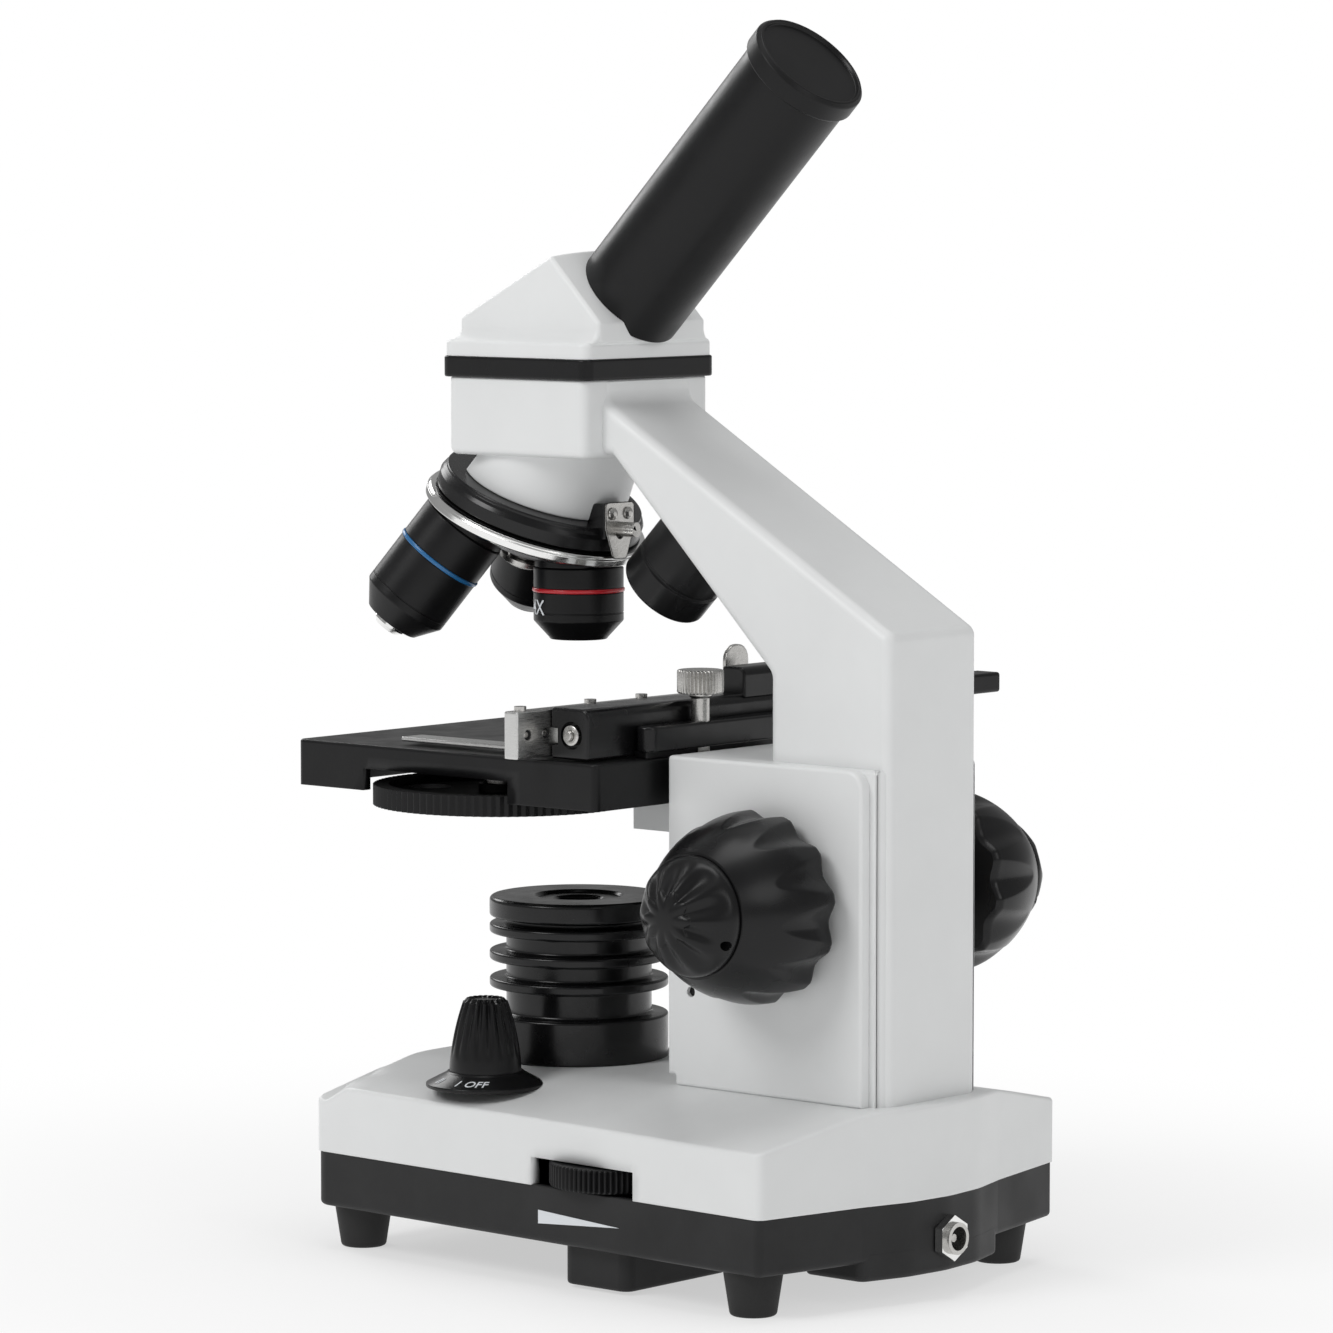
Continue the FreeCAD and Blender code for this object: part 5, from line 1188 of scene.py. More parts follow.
def build_click_spring(root_z):
    """Spring leaf on its pad, with an oval hole made by three bores and two round-headed screws."""
    low, high = span("click_spring")
    face, pad_half, pad_deep = low[1] - 0.02, 5.0, 9.0
    slab("spring_pad", box_points(-pad_half, pad_half, face - pad_deep, face), 0.6, root_z + 3.5, high[2],
         0.5,
         "black_metal", "stand", finish="black_gloss")
    half, top, tip = high[0], high[2], low[2]
    waist, tip_half = top - 6, 2.2
    leaf = [(-half, top), (half, top), (half, waist), (tip_half, tip), (-tip_half, tip), (-half, waist)]
    obj = slab("click_spring_leaf", leaf, [0.8, 0.8, 1.5, 0.8, 0.8, 1.5], face + 0.03, high[1], 0.12,
               "steel", "stand",
               plane="XZ", replaced=("click_spring",))
    middle, hole_r = (top + tip) / 2, 1.5
    bored(obj, [rod_mesh("spring_hole", hole_r, (0, face - 2, middle + rise), Y, 8) for rise in (-0.7, 0,
                                                                                                 0.7)])
    screw_r, screw_x, screw_drop = 1.55, 2.85, 2.5
    head = turned_profile([(0, 0), (screw_r, 0), (screw_r, 0.4), (0.6, 0.9), (0, 0.9)],
                          [0, 0.05, 0.3, 0.3, 0])
    for side in (-1, 1):
        place = (side * screw_x, high[1] + 0.02, top - screw_drop)
        lathe(f"spring_screw_{side_name(side)}", head, place, Y, "steel", "stand", ("click_spring_screws",),
              segments=48)


def build_seat(t, step):
    """Collar that an objective screws into, cut level with the ring's top and kept inside the ring."""
    up, _, centre = turret_axes(t)
    start, way = seat(t, step)
    r, deep = t.barrel - 0.3, -6.5
    collar = turned_profile([(0, deep), (r, deep), (r, -0.1), (0, -0.1)], [0, 0.1, 0.2, 0])
    rings = lathe_rings(collar, start, way, 96)
    height = (rings - centre) @ up
    rings -= np.maximum(height - t.ring_height / 2 + 0.2, 0)[..., None] * up
    across = rings - centre
    flat = across - (across @ up)[..., None] * up
    reach = np.linalg.norm(flat, axis=-1)
    limit = np.minimum(1, (t.ring_radius - 2.2) / np.maximum(reach, 1e-6))
    rings = centre + flat * limit[..., None] + (across @ up)[..., None] * up
    piece(f"objective_seat_{step}", shell(f"objective_seat_{step}", rings), "black_metal", "turret")


# name, seat, band's start, cone's start, length, radius at the tip, finish of the band, print and its
# turn about the barrel in degrees
OBJECTIVES = (
    ("4x", 0, 5.1, 13.4, 18.1, 7.1, "ring_red", "4X", 24.0),
    ("40x", 1, 9.6, 24.7, 30.4, 7.2, "ring_blue", "40X", 180.0),
    ("10x", 2, 5.6, 20.0, 26.0, 6.4, "ring_ochre", "10X", 200.0),
)


def build_objective(t, name, step, band, shoulder, nose, tip, colour, text, turn):
    """Objective barrel with its coloured band, fine turned grooves and its printed power."""
    start, way = seat(t, step)
    r = t.barrel
    inside, spigot, groove, cell = 5.5, 8.3, r - 0.5, 4.6
    band_end, line, line_r = band + 1.2, shoulder - 2.0, r - 0.12
    points = [(inside, -1.2), (spigot, -1.2), (spigot, 0.02), (r - 0.2, 0.02), (r, 0.3), (r, band),
              (groove, band),
              (groove, band_end), (r, band_end), (r, line - 0.2), (line_r, line - 0.1), (line_r, line + 0.1),
              (r, line + 0.2), (r, shoulder), (tip + 0.35, nose - 0.5), (tip, nose), (cell, nose),
              (cell - 0.2, nose - 2.4), (inside, nose - 2.6)]
    eases = [0.1, 0.1, 0.1, 0.1, 0.2, 0.15, 0.1, 0.1, 0.15, 0.05, 0.05, 0.05, 0.05, 0.7, 0.3, 0.3, 0.3, 0.1,
             0.1]
    lathe(f"objective_barrel_{name}", ring_profile(points, eases), start, way, "black_metal", "turret",
          (f"objective_{name}",), segments=128, caps=False)
    first, last, proud = band + 0.06, band_end - 0.06, r + 0.3
    ring = ring_profile([(groove, first), (proud, first), (proud, last), (groove, last)],
                        [0.1, 0.4, 0.4, 0.1])
    replaced = ("colour_rings",) if step == 0 else ()
    lathe(f"colour_band_{name}", ring, start, way, "ring_paint", "turret", replaced, segments=128, caps=False,
          finish=colour)
    print_power(f"power_{name}", text, turn, start, way, X if step == 0 else None, r, band + 6.6)


def print_power(name, text, turn, start, way, face, r, baseline):
    """Letters wrapped round a barrel: across them is an angle about its axis and up them is back along
    it.  The turn is counted from the given face, or from the level direction across the barrel."""
    letters, faces = flat_text(name, text, 5.4, weight=0.004)
    level = np.cross(Z, way)
    level /= max(np.linalg.norm(level), 1e-6)
    outward = level if face is None else face
    turned = math.radians(turn)
    outward = outward * math.cos(turned) + np.cross(way, outward) * math.sin(turned)
    outward -= way * (outward @ way)
    outward /= np.linalg.norm(outward)
    side = np.cross(outward, -way)
    angle = -letters[:, 0] / r
    along = baseline - letters[:, 1]
    out = r + 0.05 + np.maximum(letters[:, 2], 0)
    points = (start + way * along[:, None] + outward * (out * np.cos(angle))[:, None]
              + side * (out * np.sin(angle))[:, None])
    add_text(name, points, faces, "mark_print", "turret")


# ---- head -----------------------------------------------------------------------------------


def build_head(s):
    """White head: a straight foot, a hollow moulding and a wedge with a crowned ridge."""
    rear = band_high[1] - 0.4
    foot_half = 24.0
    foot = box_points(-foot_half, foot_half, -rear, rear)
    low = band_high[2]
    slab("head_foot", foot, 2.6, low, s.foot_z, (0.1, 1.0), "white_paint", "head", replaced=("head_housing",))
    wedge_rear, ledge = rear + 0.6, 0.9
    slope = s.ridge_z + s.ridge_y
    start_plan = box_points(-foot_half + ledge, foot_half - ledge, -rear + ledge, rear - 0.1)
    end_plan = box_points(-s.half, s.half, s.nose_y, wedge_rear)
    first = rounded_path(start_plan, 1.8, steps=6)
    last = rounded_path(end_plan, 1.2, steps=6)
    arch_high, arch_half = 1.1, 21.0
    rows = [on_plane(first, "XY", s.foot_z - 1.5)]
    for q in np.linspace(0, QUARTER, 10):
        rise = 1 - math.cos(q)
        path = first + (last - first) * math.sin(q)
        arch = arch_high * rise * np.clip(1 - (path[:, 1] / arch_half) ** 2, 0,
                                          1) * (np.abs(path[:, 0]) > s.half - 2)
        rows.append(on_plane(path, "XY", s.foot_z - 0.05 + (s.cove_z - s.foot_z) * rise + arch))
    piece("head_cove", shell("head_cove", rows), "white_paint", "head")
    side = [(s.nose_y, s.foot_z), (wedge_rear, s.foot_z), (wedge_rear, slope - wedge_rear),
            (s.ridge_y, s.ridge_z),
            (s.nose_y, s.nose_z)]
    rings = slab_rings(side, [0.3, 0.3, 1.0, 0.8, 1.4], -s.half, s.half, 1.1, 1.1, plane="YZ", steps=5)
    rings = refine_rows(rings, 9)
    lift = np.clip((rings[..., 2] - s.nose_z + 2) / (s.ridge_z - s.nose_z + 2), 0, 1)
    rings[..., 2] += s.crown * lift * np.clip(1 - (rings[..., 0] / s.half) ** 2, 0, 1)
    piece("head_wedge", shell("head_wedge", rings), "white_paint", "head")


def refine_rows(rings, count):
    """Adds rows between the two widest-apart rows of a stack."""
    gaps = np.linalg.norm(np.diff(rings, axis=0), axis=2).mean(1)
    at = int(np.argmax(gaps))
    t = np.linspace(0, 1, count + 2)[1:-1, None, None]
    extra = rings[at] + (rings[at + 1] - rings[at]) * t
    return np.concatenate([rings[:at + 1], extra, rings[at + 1:]])


def build_band():
    """Black band between the head and the block."""
    half, spigot_long = band_high[0], 6.5
    slab("head_turning_band", box_points(-half, half, -half, half), 2.6, band_low[2] + spigot_long - 0.3,
         band_high[2],
         0.5, "black_plastic", "head", replaced=("head_band",), finish="knob_plastic")


def build_tube(s):
    """Black eyepiece tube with its bore, and the push-on dust cap."""
    origin = np.array((0, 0, s.tube_offset))
    r, bore = s.tube_radius, s.bore_radius
    tube = ring_profile([(bore, s.tube_start), (r, s.tube_start), (r, s.tube_end), (bore, s.tube_end)],
                        [0.2, 0.3, 0.4, 0.4])
    lathe("eyepiece_barrel", tube, origin, LEAN, "black_metal", "head", ("eyepiece_tube",), segments=160,
          caps=False)
    grip, cap_long, dish = 3.6, 5.6, 0.9
    start = s.tube_end - grip
    full = start + cap_long
    inside, floor, outside = r + 0.08, s.tube_end + 0.05, s.cap_radius
    cap = turned_profile([(0, floor), (inside, floor), (inside, start), (outside - 0.3, start),
                          (outside, start + 0.4), (outside, full - 1.0), (outside - 0.9, full),
                          (outside - 1.5, full),
                          (outside - 1.9, full - dish), (0, full - dish)],
                         [0, 0.1, 0.1, 0.15, 0.2, 0.6, 0.35, 0.3, 0.3, 0])
    lathe("dust_cap_cover", cap, origin, LEAN, "black_plastic", "dust_cap", ("dust_cap",), segments=160,
          caps=False)


# ---- stage and slide holder -------------------------------------------------------------------


def build_stage():
    """Black stage: a shell with a round light hole and a finger notch for the disc."""
    low, high = stage_low, stage_high
    plan = box_points(low[0], high[0], low[1], high[1])
    centre = plan_centre(disc_low, disc_high)
    half = math.sqrt(half_width(disc_low, disc_high) ** 2 - (high[0] - STAGE_WALL - centre[0]) ** 2) + 0.8
    marks = (centre[1] - half, centre[1] + half)
    notch_top = low[2] + 5.5
    outline = divided(rounded_path(plan, 1.6, steps=6), 6.0, marks)
    ease = 0.7
    levels = (low[2], low[2] + 0.3, notch_top, (notch_top + high[2]) / 2, high[2] - ease - 0.3)
    rows = [on_plane(outline, "XY", z) for z in levels]
    normal = inward(outline)
    for q in np.linspace(0, QUARTER, 5):
        rows.append(on_plane(outline + normal * ease * (1 - math.cos(q)), "XY",
                             high[2] - ease * (1 - math.sin(q))))
    inner = outline + normal * (ease + 0.3)
    rows.append(on_plane(inner, "XY", high[2]))
    angle = np.arctan2(inner[:, 1], inner[:, 0])
    hole = np.stack([np.cos(angle), np.sin(angle)], 1)
    light, chamfer = 8.0, 0.3
    for t in (0.15, 0.5, 0.85, 0.985):
        rows.append(on_plane(inner + (hole * (light + chamfer + 0.1) - inner) * t, "XY", high[2]))
    rows.append(on_plane(hole * (light + chamfer), "XY", high[2]))
    rows.append(on_plane(hole * light, "XY", high[2] - chamfer))
    rows.append(on_plane(hole * light, "XY", high[2] - 4.0))
    rings = np.array(rows)
    middle = cell_middles(rings)
    notch = ((middle[..., 0] > high[0] - 1) & (middle[..., 1] > marks[0]) & (middle[..., 1] < marks[1])
             & (middle[..., 2] < notch_top))
    mesh = shell("stage_shell", rings, caps=(False, False), keep=~notch, closed=False, smooth=45)
    obj = piece("stage_shell", mesh, "black_metal", "carriage", ("stage_plate",))
    walled(obj, STAGE_WALL)


def build_rail():
    """Black rail of the slide holder, with its tongue slot, tail, tower, foot, post and end bearing."""
    left, right, front, rear, low, top = -44.0, 43.0, 29.3, 41.3, 127.6, 140.0
    slot_low, slot_high, slot_deep = 130.9, 135.1, 2.2
    bearing_y, bearing_z, recess_r = (front + rear) / 2 + 0.6, 133.5, 3.4
    obj = slab("holder_rail_body", box_points(front, rear, low, top), [0.6, 0.6, 2.2, 0.8], left, right, 0.6,
               "black_metal", "cross_slide", plane="YZ", replaced=("holder_rail",), finish="black_gloss")
    bored(obj, [block_mesh("tongue_slot", (left - 1, front - 1, slot_low), (right + 1, front + slot_deep,
                                                                            slot_high)),
                rod_mesh("bearing_recess", recess_r, (right - 1.6, bearing_y, bearing_z), X, 4)])
    tail_low, tail_top, inset = 133.2, 138.4, 2.0
    slab("holder_rail_tail", box_points(front + inset, rear - inset, tail_low, tail_top), 0.8, rail_low[0],
         left + 1,
         0.5, "black_metal", "cross_slide", plane="YZ")
    tower_left, tower_right, tower_front, tower_top = -35.0, -15.5, 34.0, 146.6
    slab("holder_rail_tower", box_points(tower_front, rear, top - 1, tower_top), [0.3, 0.3, 2.0, 0.8],
         tower_left,
         tower_right, 0.6, "black_metal", "cross_slide", plane="YZ", finish="black_gloss")
    foot_left, foot_right, foot_low, foot_top = -70.0, -56.0, 125.65, 134.6
    slab("holder_rail_foot", box_points(foot_left, foot_right, front + inset, rear - inset), 0.8, foot_low,
         foot_top,
         0.3, "black_metal", "cross_slide")
    post_x, post_y, post_low, post_top, post_r = -63.0, 37.0, 114.0, 127.0, 2.0
    post = turned_profile([(0, post_low), (post_r, post_low), (post_r, post_top), (0, post_top)],
                          [0, 0.3, 0.1, 0])
    lathe("cross_post", post, (post_x, post_y, 0), Z, "steel", "cross_slide", segments=48)
    pin_r, bush_r, root, bush_end, pin_end = 1.2, 2.5, right - 1.5, right + 0.5, right + 1.5
    bush = ring_profile([(pin_r + 0.1, root), (bush_r, root), (bush_r, bush_end - 0.2), (1.9, bush_end),
                         (pin_r + 0.1, bush_end)], [0.1, 0.1, 0.2, 0.1, 0.1])
    lathe("rail_bearing", bush, (0, bearing_y, bearing_z), X, "steel", "cross_slide", segments=48, caps=False)
    pin = turned_profile([(0, root - 0.5), (pin_r, root - 0.5), (pin_r, pin_end), (0, pin_end)],
                         [0, 0.1, 0.3, 0])
    lathe("rail_bearing_pin", pin, (0, bearing_y, bearing_z), X, "steel", "cross_slide", segments=48)


def build_slide_bar():
    """Bright bar with two cross holes, its tongue in the rail and the fixed jaw."""
    low, high = span("slide_bar")
    front, rear, top = 24.8, 29.1, high[2]
    obj = slab("slide_bar_body", box_points(front, rear, low[2], top), 0.35, low[0], high[0], 0.4,
               "aluminium",
               "long_slide", plane="YZ", replaced=("slide_bar",), finish="bar_steel")
    middle, hole_r, hole_deep = (low[2] + top) / 2, 1.3, 1.2
    places = [np.array((high[0] - back, rear, middle)) for back in (3.8, 10.4)]
    bored(obj, [rod_mesh("hole", hole_r, place - Y * hole_deep, Y, 4) for place in places])
    pin_r = 0.75
    pin = turned_profile([(0, -2), (pin_r, -2), (pin_r, -0.5), (0, -0.5)], [0, 0.1, 0.2, 0])
    # painted shade: a near-black ring sunk in each hole round its pin, in place of the shade in the gap
    rim = ring_profile([(pin_r + 0.05, -1.25), (hole_r - 0.02, -1.25), (hole_r - 0.02, -0.25),
                        (pin_r + 0.05, -0.9)],
                       [0.05] * 4)
    for number, place in enumerate(places):
        lathe(f"bar_pin_{number}", pin, place, Y, "steel", "long_slide", segments=24)
        lathe(f"bar_pin_hole_shade_{number}", rim, place, Y, "steel", "long_slide", segments=24, caps=False,
              finish="painted_hole_shade")
    tongue_rear, tongue_low, tongue_top, tongue_right = 31.2, 131.0, 135.0, 41.0
    slab("slide_bar_tongue", box_points(rear - 1, tongue_rear, tongue_low, tongue_top), 0.2, low[0] + 8,
         tongue_right,
         0.2, "aluminium", "long_slide", plane="YZ", finish="bar_steel")
    jaw_left, jaw_right, jaw_thick = 31.0, 38.7, 1.1
    slab("fixed_jaw", box_points(jaw_left, jaw_right, low[1], front + 1), [0.8, 0.8, 0.2, 0.2], low[2],
         low[2] + jaw_thick, 0.3, "aluminium", "long_slide", finish="bar_steel")


def build_lever():
    """Sprung lever: hub, arm, hook that holds the slide, and the upright thumb tab."""
    low, high = span("clip_lever")
    x, y, z, t = -31.0, 26.95, 140.3, 1.4
    under, over = z + 0.1, z + t - 0.1
    hub_r, cap_r, cap_top = 3.6, 2.2, z + t + 0.5
    hub = turned_profile([(0, z), (hub_r, z), (hub_r, z + t), (cap_r, z + t), (cap_r - 0.2, cap_top),
                          (0, cap_top)],
                         [0, 0.3, 0.3, 0.1, 0.2, 0])
    lathe("lever_hub", hub, (x, y, 0), Z, "steel", "clip", ("clip_lever",), segments=64)
    arm_end, arm_half, reach_right, hook_right = x - 17, 2.0, x - 12.5, x - 15.4
    neck_end, neck_half, hook_long = x + 7, 1.6, 7.0
    slab("lever_arm", box_points(arm_end, x, y - arm_half, y + arm_half), [1.2, 0.5, 0.5, 1.2], under, over,
         0.25,
         "steel", "clip")
    slab("lever_reach", box_points(arm_end, reach_right, low[1], y + 1), 0.7, under, over, 0.25, "steel",
         "clip")
    slab("lever_hook", box_points(arm_end, hook_right, low[1], low[1] + hook_long), 0.4, low[2], z + 1, 0.25,
         "steel", "clip")
    slab("lever_neck", box_points(x, neck_end, y - neck_half, y + neck_half), 0.6, under, over, 0.25,
         "steel", "clip")
    tab_left, tab_right, tab_half, tab_round = x - 2.4, x + 6.4, 0.6, 3.9
    slab("lever_tab", box_points(tab_left, tab_right, z, high[2]), [0.4, 0.4, tab_round, tab_round],
         y - tab_half,
         y + tab_half, 0.25, "steel", "clip", plane="XZ")


def build_holder_base():
    """Black bar clamped on the stage, its foot and the guide at its far end."""
    low, high = span("holder_base")
    front, rear, stage = 41.6, 47.3, stage_high[2]
    clamp_x, clamp_y, clamp_r = 5.0, 44.45, 2.6
    bar = slab("holder_clamp_bar", box_points(low[0], high[0], front, rear), [0.3, 2.6, 2.6, 0.3],
               stage + 1.5, high[2],
               0.6, "black_metal", "carriage", replaced=("holder_base",), finish="black_gloss")
    bored(bar, [rod_mesh("clamp_hole", clamp_r, (clamp_x, clamp_y, 120), Z, 30)])
    foot_left = -24.0
    foot = slab("holder_foot", box_points(foot_left, high[0] - 0.6, front, stage_high[1]), 0.4, stage + 0.02,
                stage + 1.8, 0.2, "black_metal", "carriage")
    bored(foot, [rod_mesh("clamp_hole", clamp_r, (clamp_x, clamp_y, 120), Z, 30)])
    wide, guide_top, slot_half, slot_front, slot_rear = 18.0, 125.5, 2.6, 8.0, 41.0
    guide = slab("cross_guide", box_points(low[0], low[0] + wide, low[1], rear), 1.0, low[2], guide_top, 0.5,
                 "black_metal", "carriage")
    middle = low[0] + wide / 2
    bored(guide, [block_mesh("guide_slot", (middle - slot_half, slot_front, low[2] - 1),
                             (middle + slot_half, slot_rear, guide_top + 1.5))])
    slab("guide_riser", box_points(low[0], low[0] + wide, front, rear), 0.8, low[2] + 1, stage + 2.5, 0.3,
         "black_metal", "carriage")


def build_clamp():
    """Knurled thumb screw of the slide holder."""
    centre, radius = plan_centre(clamp_low, clamp_high), half_width(clamp_low, clamp_high)
    low, head, head_long, shank, neck = clamp_low[2], 141.8, 5.8, 2.3, 2.9
    rings = toothed_rings(centre, radius, 0.55, 36, head, head + head_long, 0.55, sharp=1.4)
    piece("clamp_head", shell("clamp_head", rings), "steel", "clamp", ("clamp_screw",), finish="steel")
    shaft = turned_profile([(0, low), (shank, low), (shank, head - 1.2), (neck, head - 0.6), (neck, head + 1),
                            (0, head + 1)], [0, 0.4, 0.3, 0.3, 0.1, 0])
    lathe("clamp_shank", shaft, (*centre, 0), Z, "steel", "clamp", segments=64)


def build_cross_knobs():
    """Two coaxial knurled knobs under the stage."""
    for node, body in (("cross_knob_upper", "cross_knob"), ("cross_knob_lower", "long_knob")):
        low, high = span(node)
        rings = toothed_rings(plan_centre(low, high), half_width(low, high), 0.5, 40, low[2], high[2], 0.8,
                              sharp=1.3)
        piece(f"{node}_grip", shell(node, rings), "black_plastic", body, (node,), finish="knob_plastic")


# ---- operators --------------------------------------------------------------------------------


class ScopeBaseOperator(bpy.types.Operator):
    """Cover, tray and feet of the base"""
    bl_idname = "scope.base"
    bl_label = "Base"

    def execute(self, context):
        s = in_mm(context.scene.scope_base)
        build_cover(s)
        build_tray(s)
        build_feet(s)
        return {"FINISHED"}


class ScopeColumnOperator(bpy.types.Operator):
    """Pillar, arm, head block and gear-case plates"""
    bl_idname = "scope.column"
    bl_label = "Column"

    def execute(self, context):
        s = in_mm(context.scene.scope_column)
        f = in_mm(context.scene.scope_focus)
        t = in_mm(context.scene.scope_turret)
        build_pillar(s, f)
        build_arm(s, f)
        build_block(s, t)
        build_plates(s, f)
        return {"FINISHED"}


class ScopeLampsOperator(bpy.types.Operator):
    """Lamp house on the base and the lamp under the arm"""
    bl_idname = "scope.lamps"
    bl_label = "Lamps"

    def execute(self, context):
        build_illuminator()
        build_arm_lamp(in_mm(context.scene.scope_column))
        return {"FINISHED"}


class ScopeControlsOperator(bpy.types.Operator):
    """Switch knob and dimmer wheel"""
    bl_idname = "scope.controls"
    bl_label = "Controls"

    def execute(self, context):
        build_switch()
        build_dimmer()
        return {"FINISHED"}


class ScopeFocusOperator(bpy.types.Operator):
    """Coarse and fine focusing knobs"""
    bl_idname = "scope.focus"
    bl_label = "Focus knobs"

    def execute(self, context):
        s = in_mm(context.scene.scope_focus)
        for side in (1, -1):
            build_coarse(s, side)
            build_fine(s, side)
        return {"FINISHED"}


class ScopeTurretOperator(bpy.types.Operator):
    """Nosepiece drum, turning ring and objectives"""
    bl_idname = "scope.turret"
    bl_label = "Turret"

    def execute(self, context):
        t = in_mm(context.scene.scope_turret)
        build_turret(t)
        for kind in OBJECTIVES:
            build_objective(t, *kind)
        return {"FINISHED"}


class ScopeHeadOperator(bpy.types.Operator):
    """Swivelling head, its band, the eyepiece tube and the dust cap"""
    bl_idname = "scope.head"
    bl_label = "Head"

    def execute(self, context):
        s = in_mm(context.scene.scope_head)
        build_head(s)
        build_band()
        build_tube(s)
        return {"FINISHED"}


class ScopeStageOperator(bpy.types.Operator):
    """Stage, slide holder and its screws and knobs"""
    bl_idname = "scope.specimen"
    bl_label = "Specimen stage"

    def execute(self, context):
        build_stage()
        build_rail()
        build_clamp()
        build_cross_knobs()
        build_slide_bar()
        build_lever()
        build_holder_base()
        return {"FINISHED"}


class ScopeFinishOperator(bpy.types.Operator):
    """Procedural finishes of the frame's own pieces"""
    bl_idname = "scope.finish"
    bl_label = "Finishes"

    def execute(self, context):
        for name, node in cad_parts.items():
            for holder in node.material_slots:
                key = holder.material.name.split(".")[0]
                if key not in FINISHES:
                    raise RuntimeError(f"{name} has a finish with no recipe: {key}")
                holder.material = FINISHES[key]()
        return {"FINISHED"}


class ScopeStudioOperator(bpy.types.Operator):
    """Floor, soft lights and camera"""
    bl_idname = "scope.studio"
    bl_label = "Studio"

    def execute(self, context):
        scene = context.scene
        s = scene.scope_studio
        build_floor(s)
        build_lights(scene)
        build_camera(scene, s)
        return {"FINISHED"}


def build_floor(s):
    """Pale floor with painted light: a white emission, mixed in at 0.55 near the middle and fully beyond 0.34
    m, makes the far floor glow pure white and keeps the shadow under the object faint.
    """
    half = s.floor_half
    mesh = bpy.data.meshes.new("floor")
    mesh.from_pydata([(-half, -half, 0), (half, -half, 0), (half, half, 0), (-half, half, 0)], [],
                     [(0, 1, 2, 3)])
    made = Weave("floor")
    made.colour(made.ramp(made.noise(3, 2), (0.92, 0.92, 0.92), (0.95, 0.95, 0.95)))
    made.fixed(Roughness=0.9, Specular_IOR_Level=0.1)
    # painted light: an emission that grows with the distance from the middle glows over the floor's own
    # shading
    far = made.nodes.new("ShaderNodeVectorMath")
    far.operation = "LENGTH"
    made.links.new(made.place, far.inputs[0])
    fade = made.nodes.new("ShaderNodeMapRange")
    fade.interpolation_type = "SMOOTHSTEP"
    fade.inputs["From Min"].default_value = 0.05
    fade.inputs["From Max"].default_value = 0.34
    fade.inputs["To Min"].default_value = 0.55
    made.links.new(far.outputs["Value"], fade.inputs["Value"])
    painted_floor_light = made.nodes.new("ShaderNodeEmission")
    mix = made.nodes.new("ShaderNodeMixShader")
    made.links.new(fade.outputs["Result"], mix.inputs["Fac"])
    made.links.new(made.shader.outputs["BSDF"], mix.inputs[1])
    made.links.new(painted_floor_light.outputs["Emission"], mix.inputs[2])
    made.links.new(mix.outputs["Shader"], made.nodes["Material Output"].inputs["Surface"])
    mesh.materials.append(made.material)
    obj = bpy.data.objects.new("floor", mesh)
    bpy.context.scene.collection.objects.link(obj)


def build_lights(scene):
    """Soft white surroundings, a large key light, a fill and a light from above."""
    world = bpy.data.worlds.new("studio")
    world.use_nodes = True
    nodes, links = world.node_tree.nodes, world.node_tree.links
    background = nodes["Background"]
    background.inputs["Color"].default_value = (1.0, 1.0, 1.0, 1)
    path = nodes.new("ShaderNodeLightPath")
    level = nodes.new("ShaderNodeMapRange")
    level.inputs["To Min"].default_value = 0.30
    level.inputs["To Max"].default_value = 1.0
    links.new(path.outputs["Is Camera Ray"], level.inputs["Value"])
    links.new(level.outputs["Result"], background.inputs["Strength"])
    scene.world = world
    scene.view_settings.view_transform = "Standard"
    for name, place, size, power in (
        ("key", (1.2, -0.3, 1.1), 0.7, 8.5),
        ("fill", (0.3, 1.6, 0.9), 0.8, 3.4),
        ("top", (-0.1, 0.1, 1.7), 0.9, 6.5),
        ("front", (-0.4, -1.4, 0.9), 0.8, 6.0),
    ):
        light = bpy.data.lights.new(name, "AREA")
        light.shape = "DISK"
        light.size = size
        light.energy = power
        obj = bpy.data.objects.new(name, light)
        obj.location = place
        obj.rotation_euler = (Vector((0, 0.02, 0.15)) - Vector(place)).to_track_quat("-Z", "Y").to_euler()
        scene.collection.objects.link(obj)


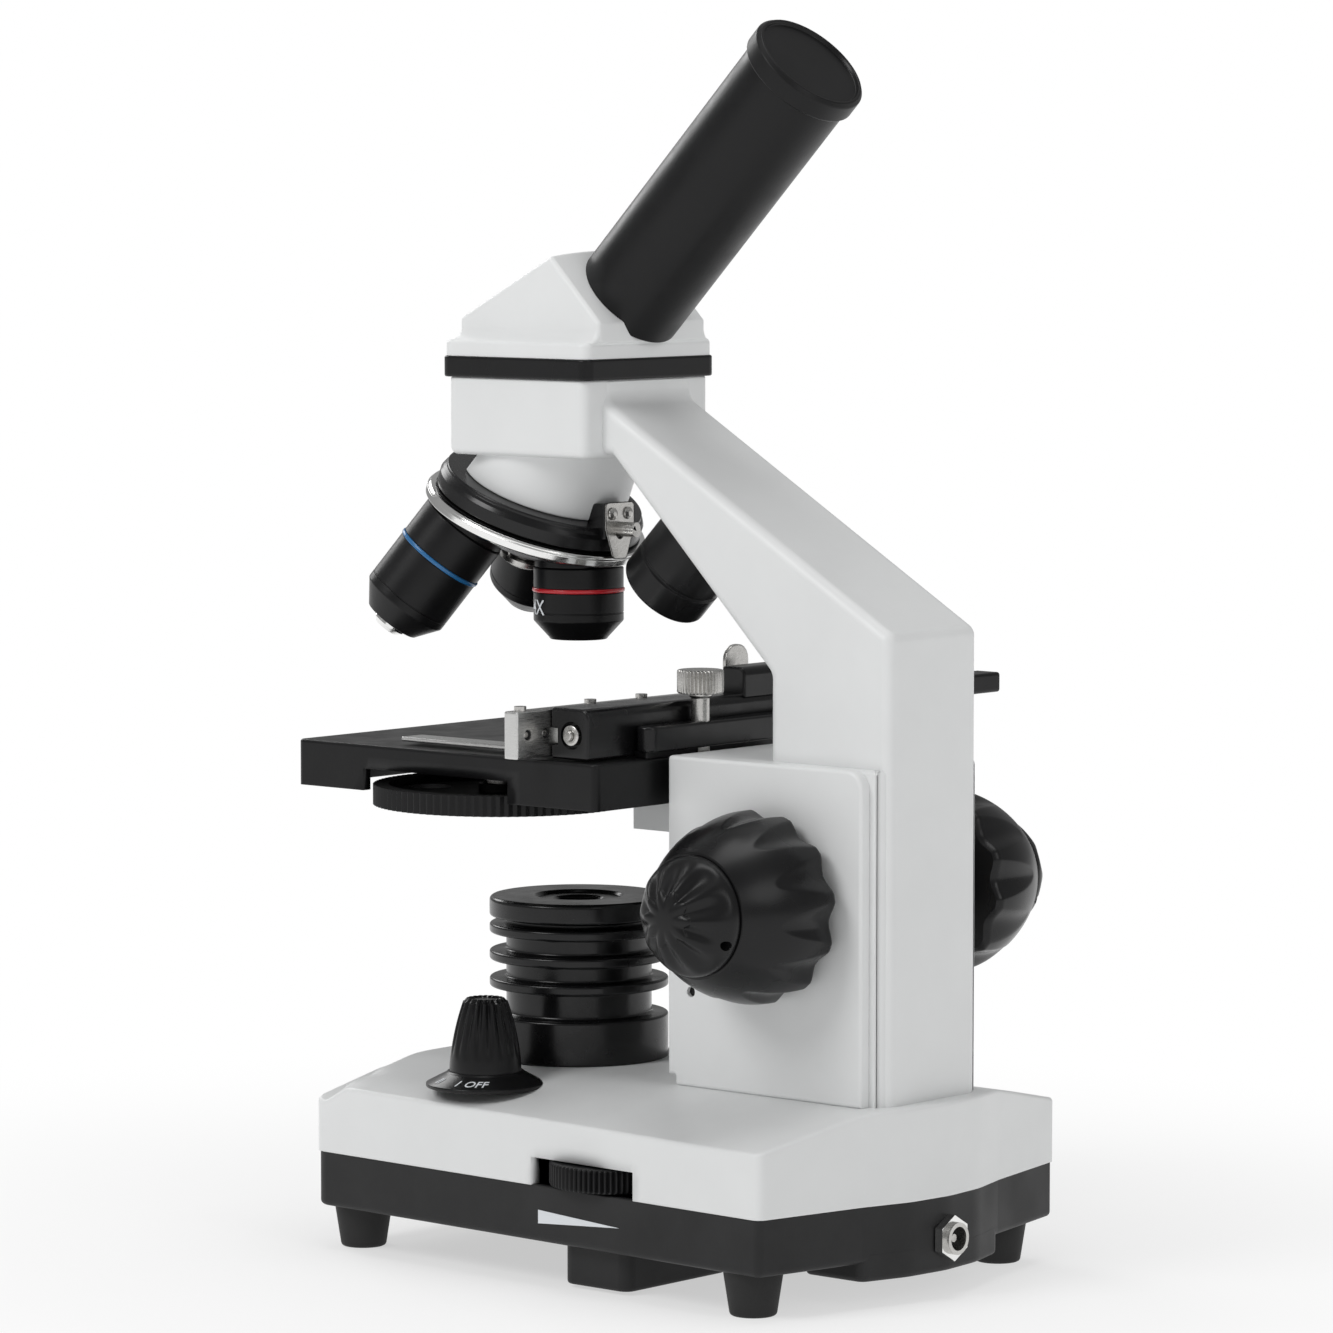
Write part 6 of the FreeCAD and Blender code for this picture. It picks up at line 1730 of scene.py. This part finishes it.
def build_camera(scene, s):
    """Camera at the chosen direction, aimed at a point beside the optical axis."""
    az, el = s.azimuth, s.elevation
    right = Vector((math.cos(az), math.sin(az), 0))
    back = Vector((math.sin(az) * math.cos(el), -math.cos(az) * math.cos(el), math.sin(el)))
    aim = right * s.aim_side + Vector((0, 0, s.aim_z))
    camera = bpy.data.cameras.new("camera")
    camera.lens = s.lens
    camera.sensor_width = 36.0
    camera.clip_end = 50.0
    obj = bpy.data.objects.new("camera", camera)
    obj.location = aim + back * s.distance
    obj.rotation_euler = (-back).to_track_quat("-Z", "Y").to_euler()
    scene.collection.objects.link(obj)
    scene.camera = obj


class ScopePanel(bpy.types.Panel):
    """Sizes, colours and build steps of the microscope"""
    bl_label = "Microscope"
    bl_idname = "VIEW3D_PT_scope"
    bl_space_type = "VIEW_3D"
    bl_region_type = "UI"
    bl_category = "Microscope"

    def draw(self, context):
        """One box for each group of sizes, then a button for each step."""
        layout = self.layout
        for group, title in GROUPS.items():
            box = layout.box()
            box.label(text=title)
            values = getattr(context.scene, group)
            for key in type(values).__annotations__:
                box.prop(values, key)
        for step in STEPS:
            layout.operator(step.bl_idname)


GROUPS = {
    "scope_base": "Base", "scope_column": "Column", "scope_head": "Head", "scope_turret": "Turret",
    "scope_focus": "Focus", "scope_colours": "Colours", "scope_studio": "Studio",
}
PROPERTY_TYPES = {
    "scope_base": ScopeBase, "scope_column": ScopeColumn, "scope_head": ScopeHead,
                  "scope_turret": ScopeTurret,
    "scope_focus": ScopeFocus, "scope_colours": ScopeColours, "scope_studio": ScopeStudio,
}
STEPS = (
    ScopeBaseOperator, ScopeColumnOperator, ScopeLampsOperator, ScopeControlsOperator, ScopeFocusOperator,
    ScopeTurretOperator, ScopeHeadOperator, ScopeStageOperator, ScopeFinishOperator, ScopeStudioOperator,
)


def register():
    """Registers the classes and hangs the property groups on the scene."""
    for kind in (*PROPERTY_TYPES.values(), *STEPS, ScopePanel):
        bpy.utils.register_class(kind)
    for name, kind in PROPERTY_TYPES.items():
        setattr(bpy.types.Scene, name, PointerProperty(type=kind))


def unregister():
    """Takes back what register does."""
    for name in PROPERTY_TYPES:
        delattr(bpy.types.Scene, name)
    for kind in (ScopePanel, *reversed(STEPS), *reversed(PROPERTY_TYPES.values())):
        bpy.utils.unregister_class(kind)


def main():
    """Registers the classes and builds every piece."""
    register()
    for step in STEPS:
        group, name = step.bl_idname.split(".")
        getattr(getattr(bpy.ops, group), name)()
    bpy.context.view_layer.update()


if __name__ == "__main__":
    main()
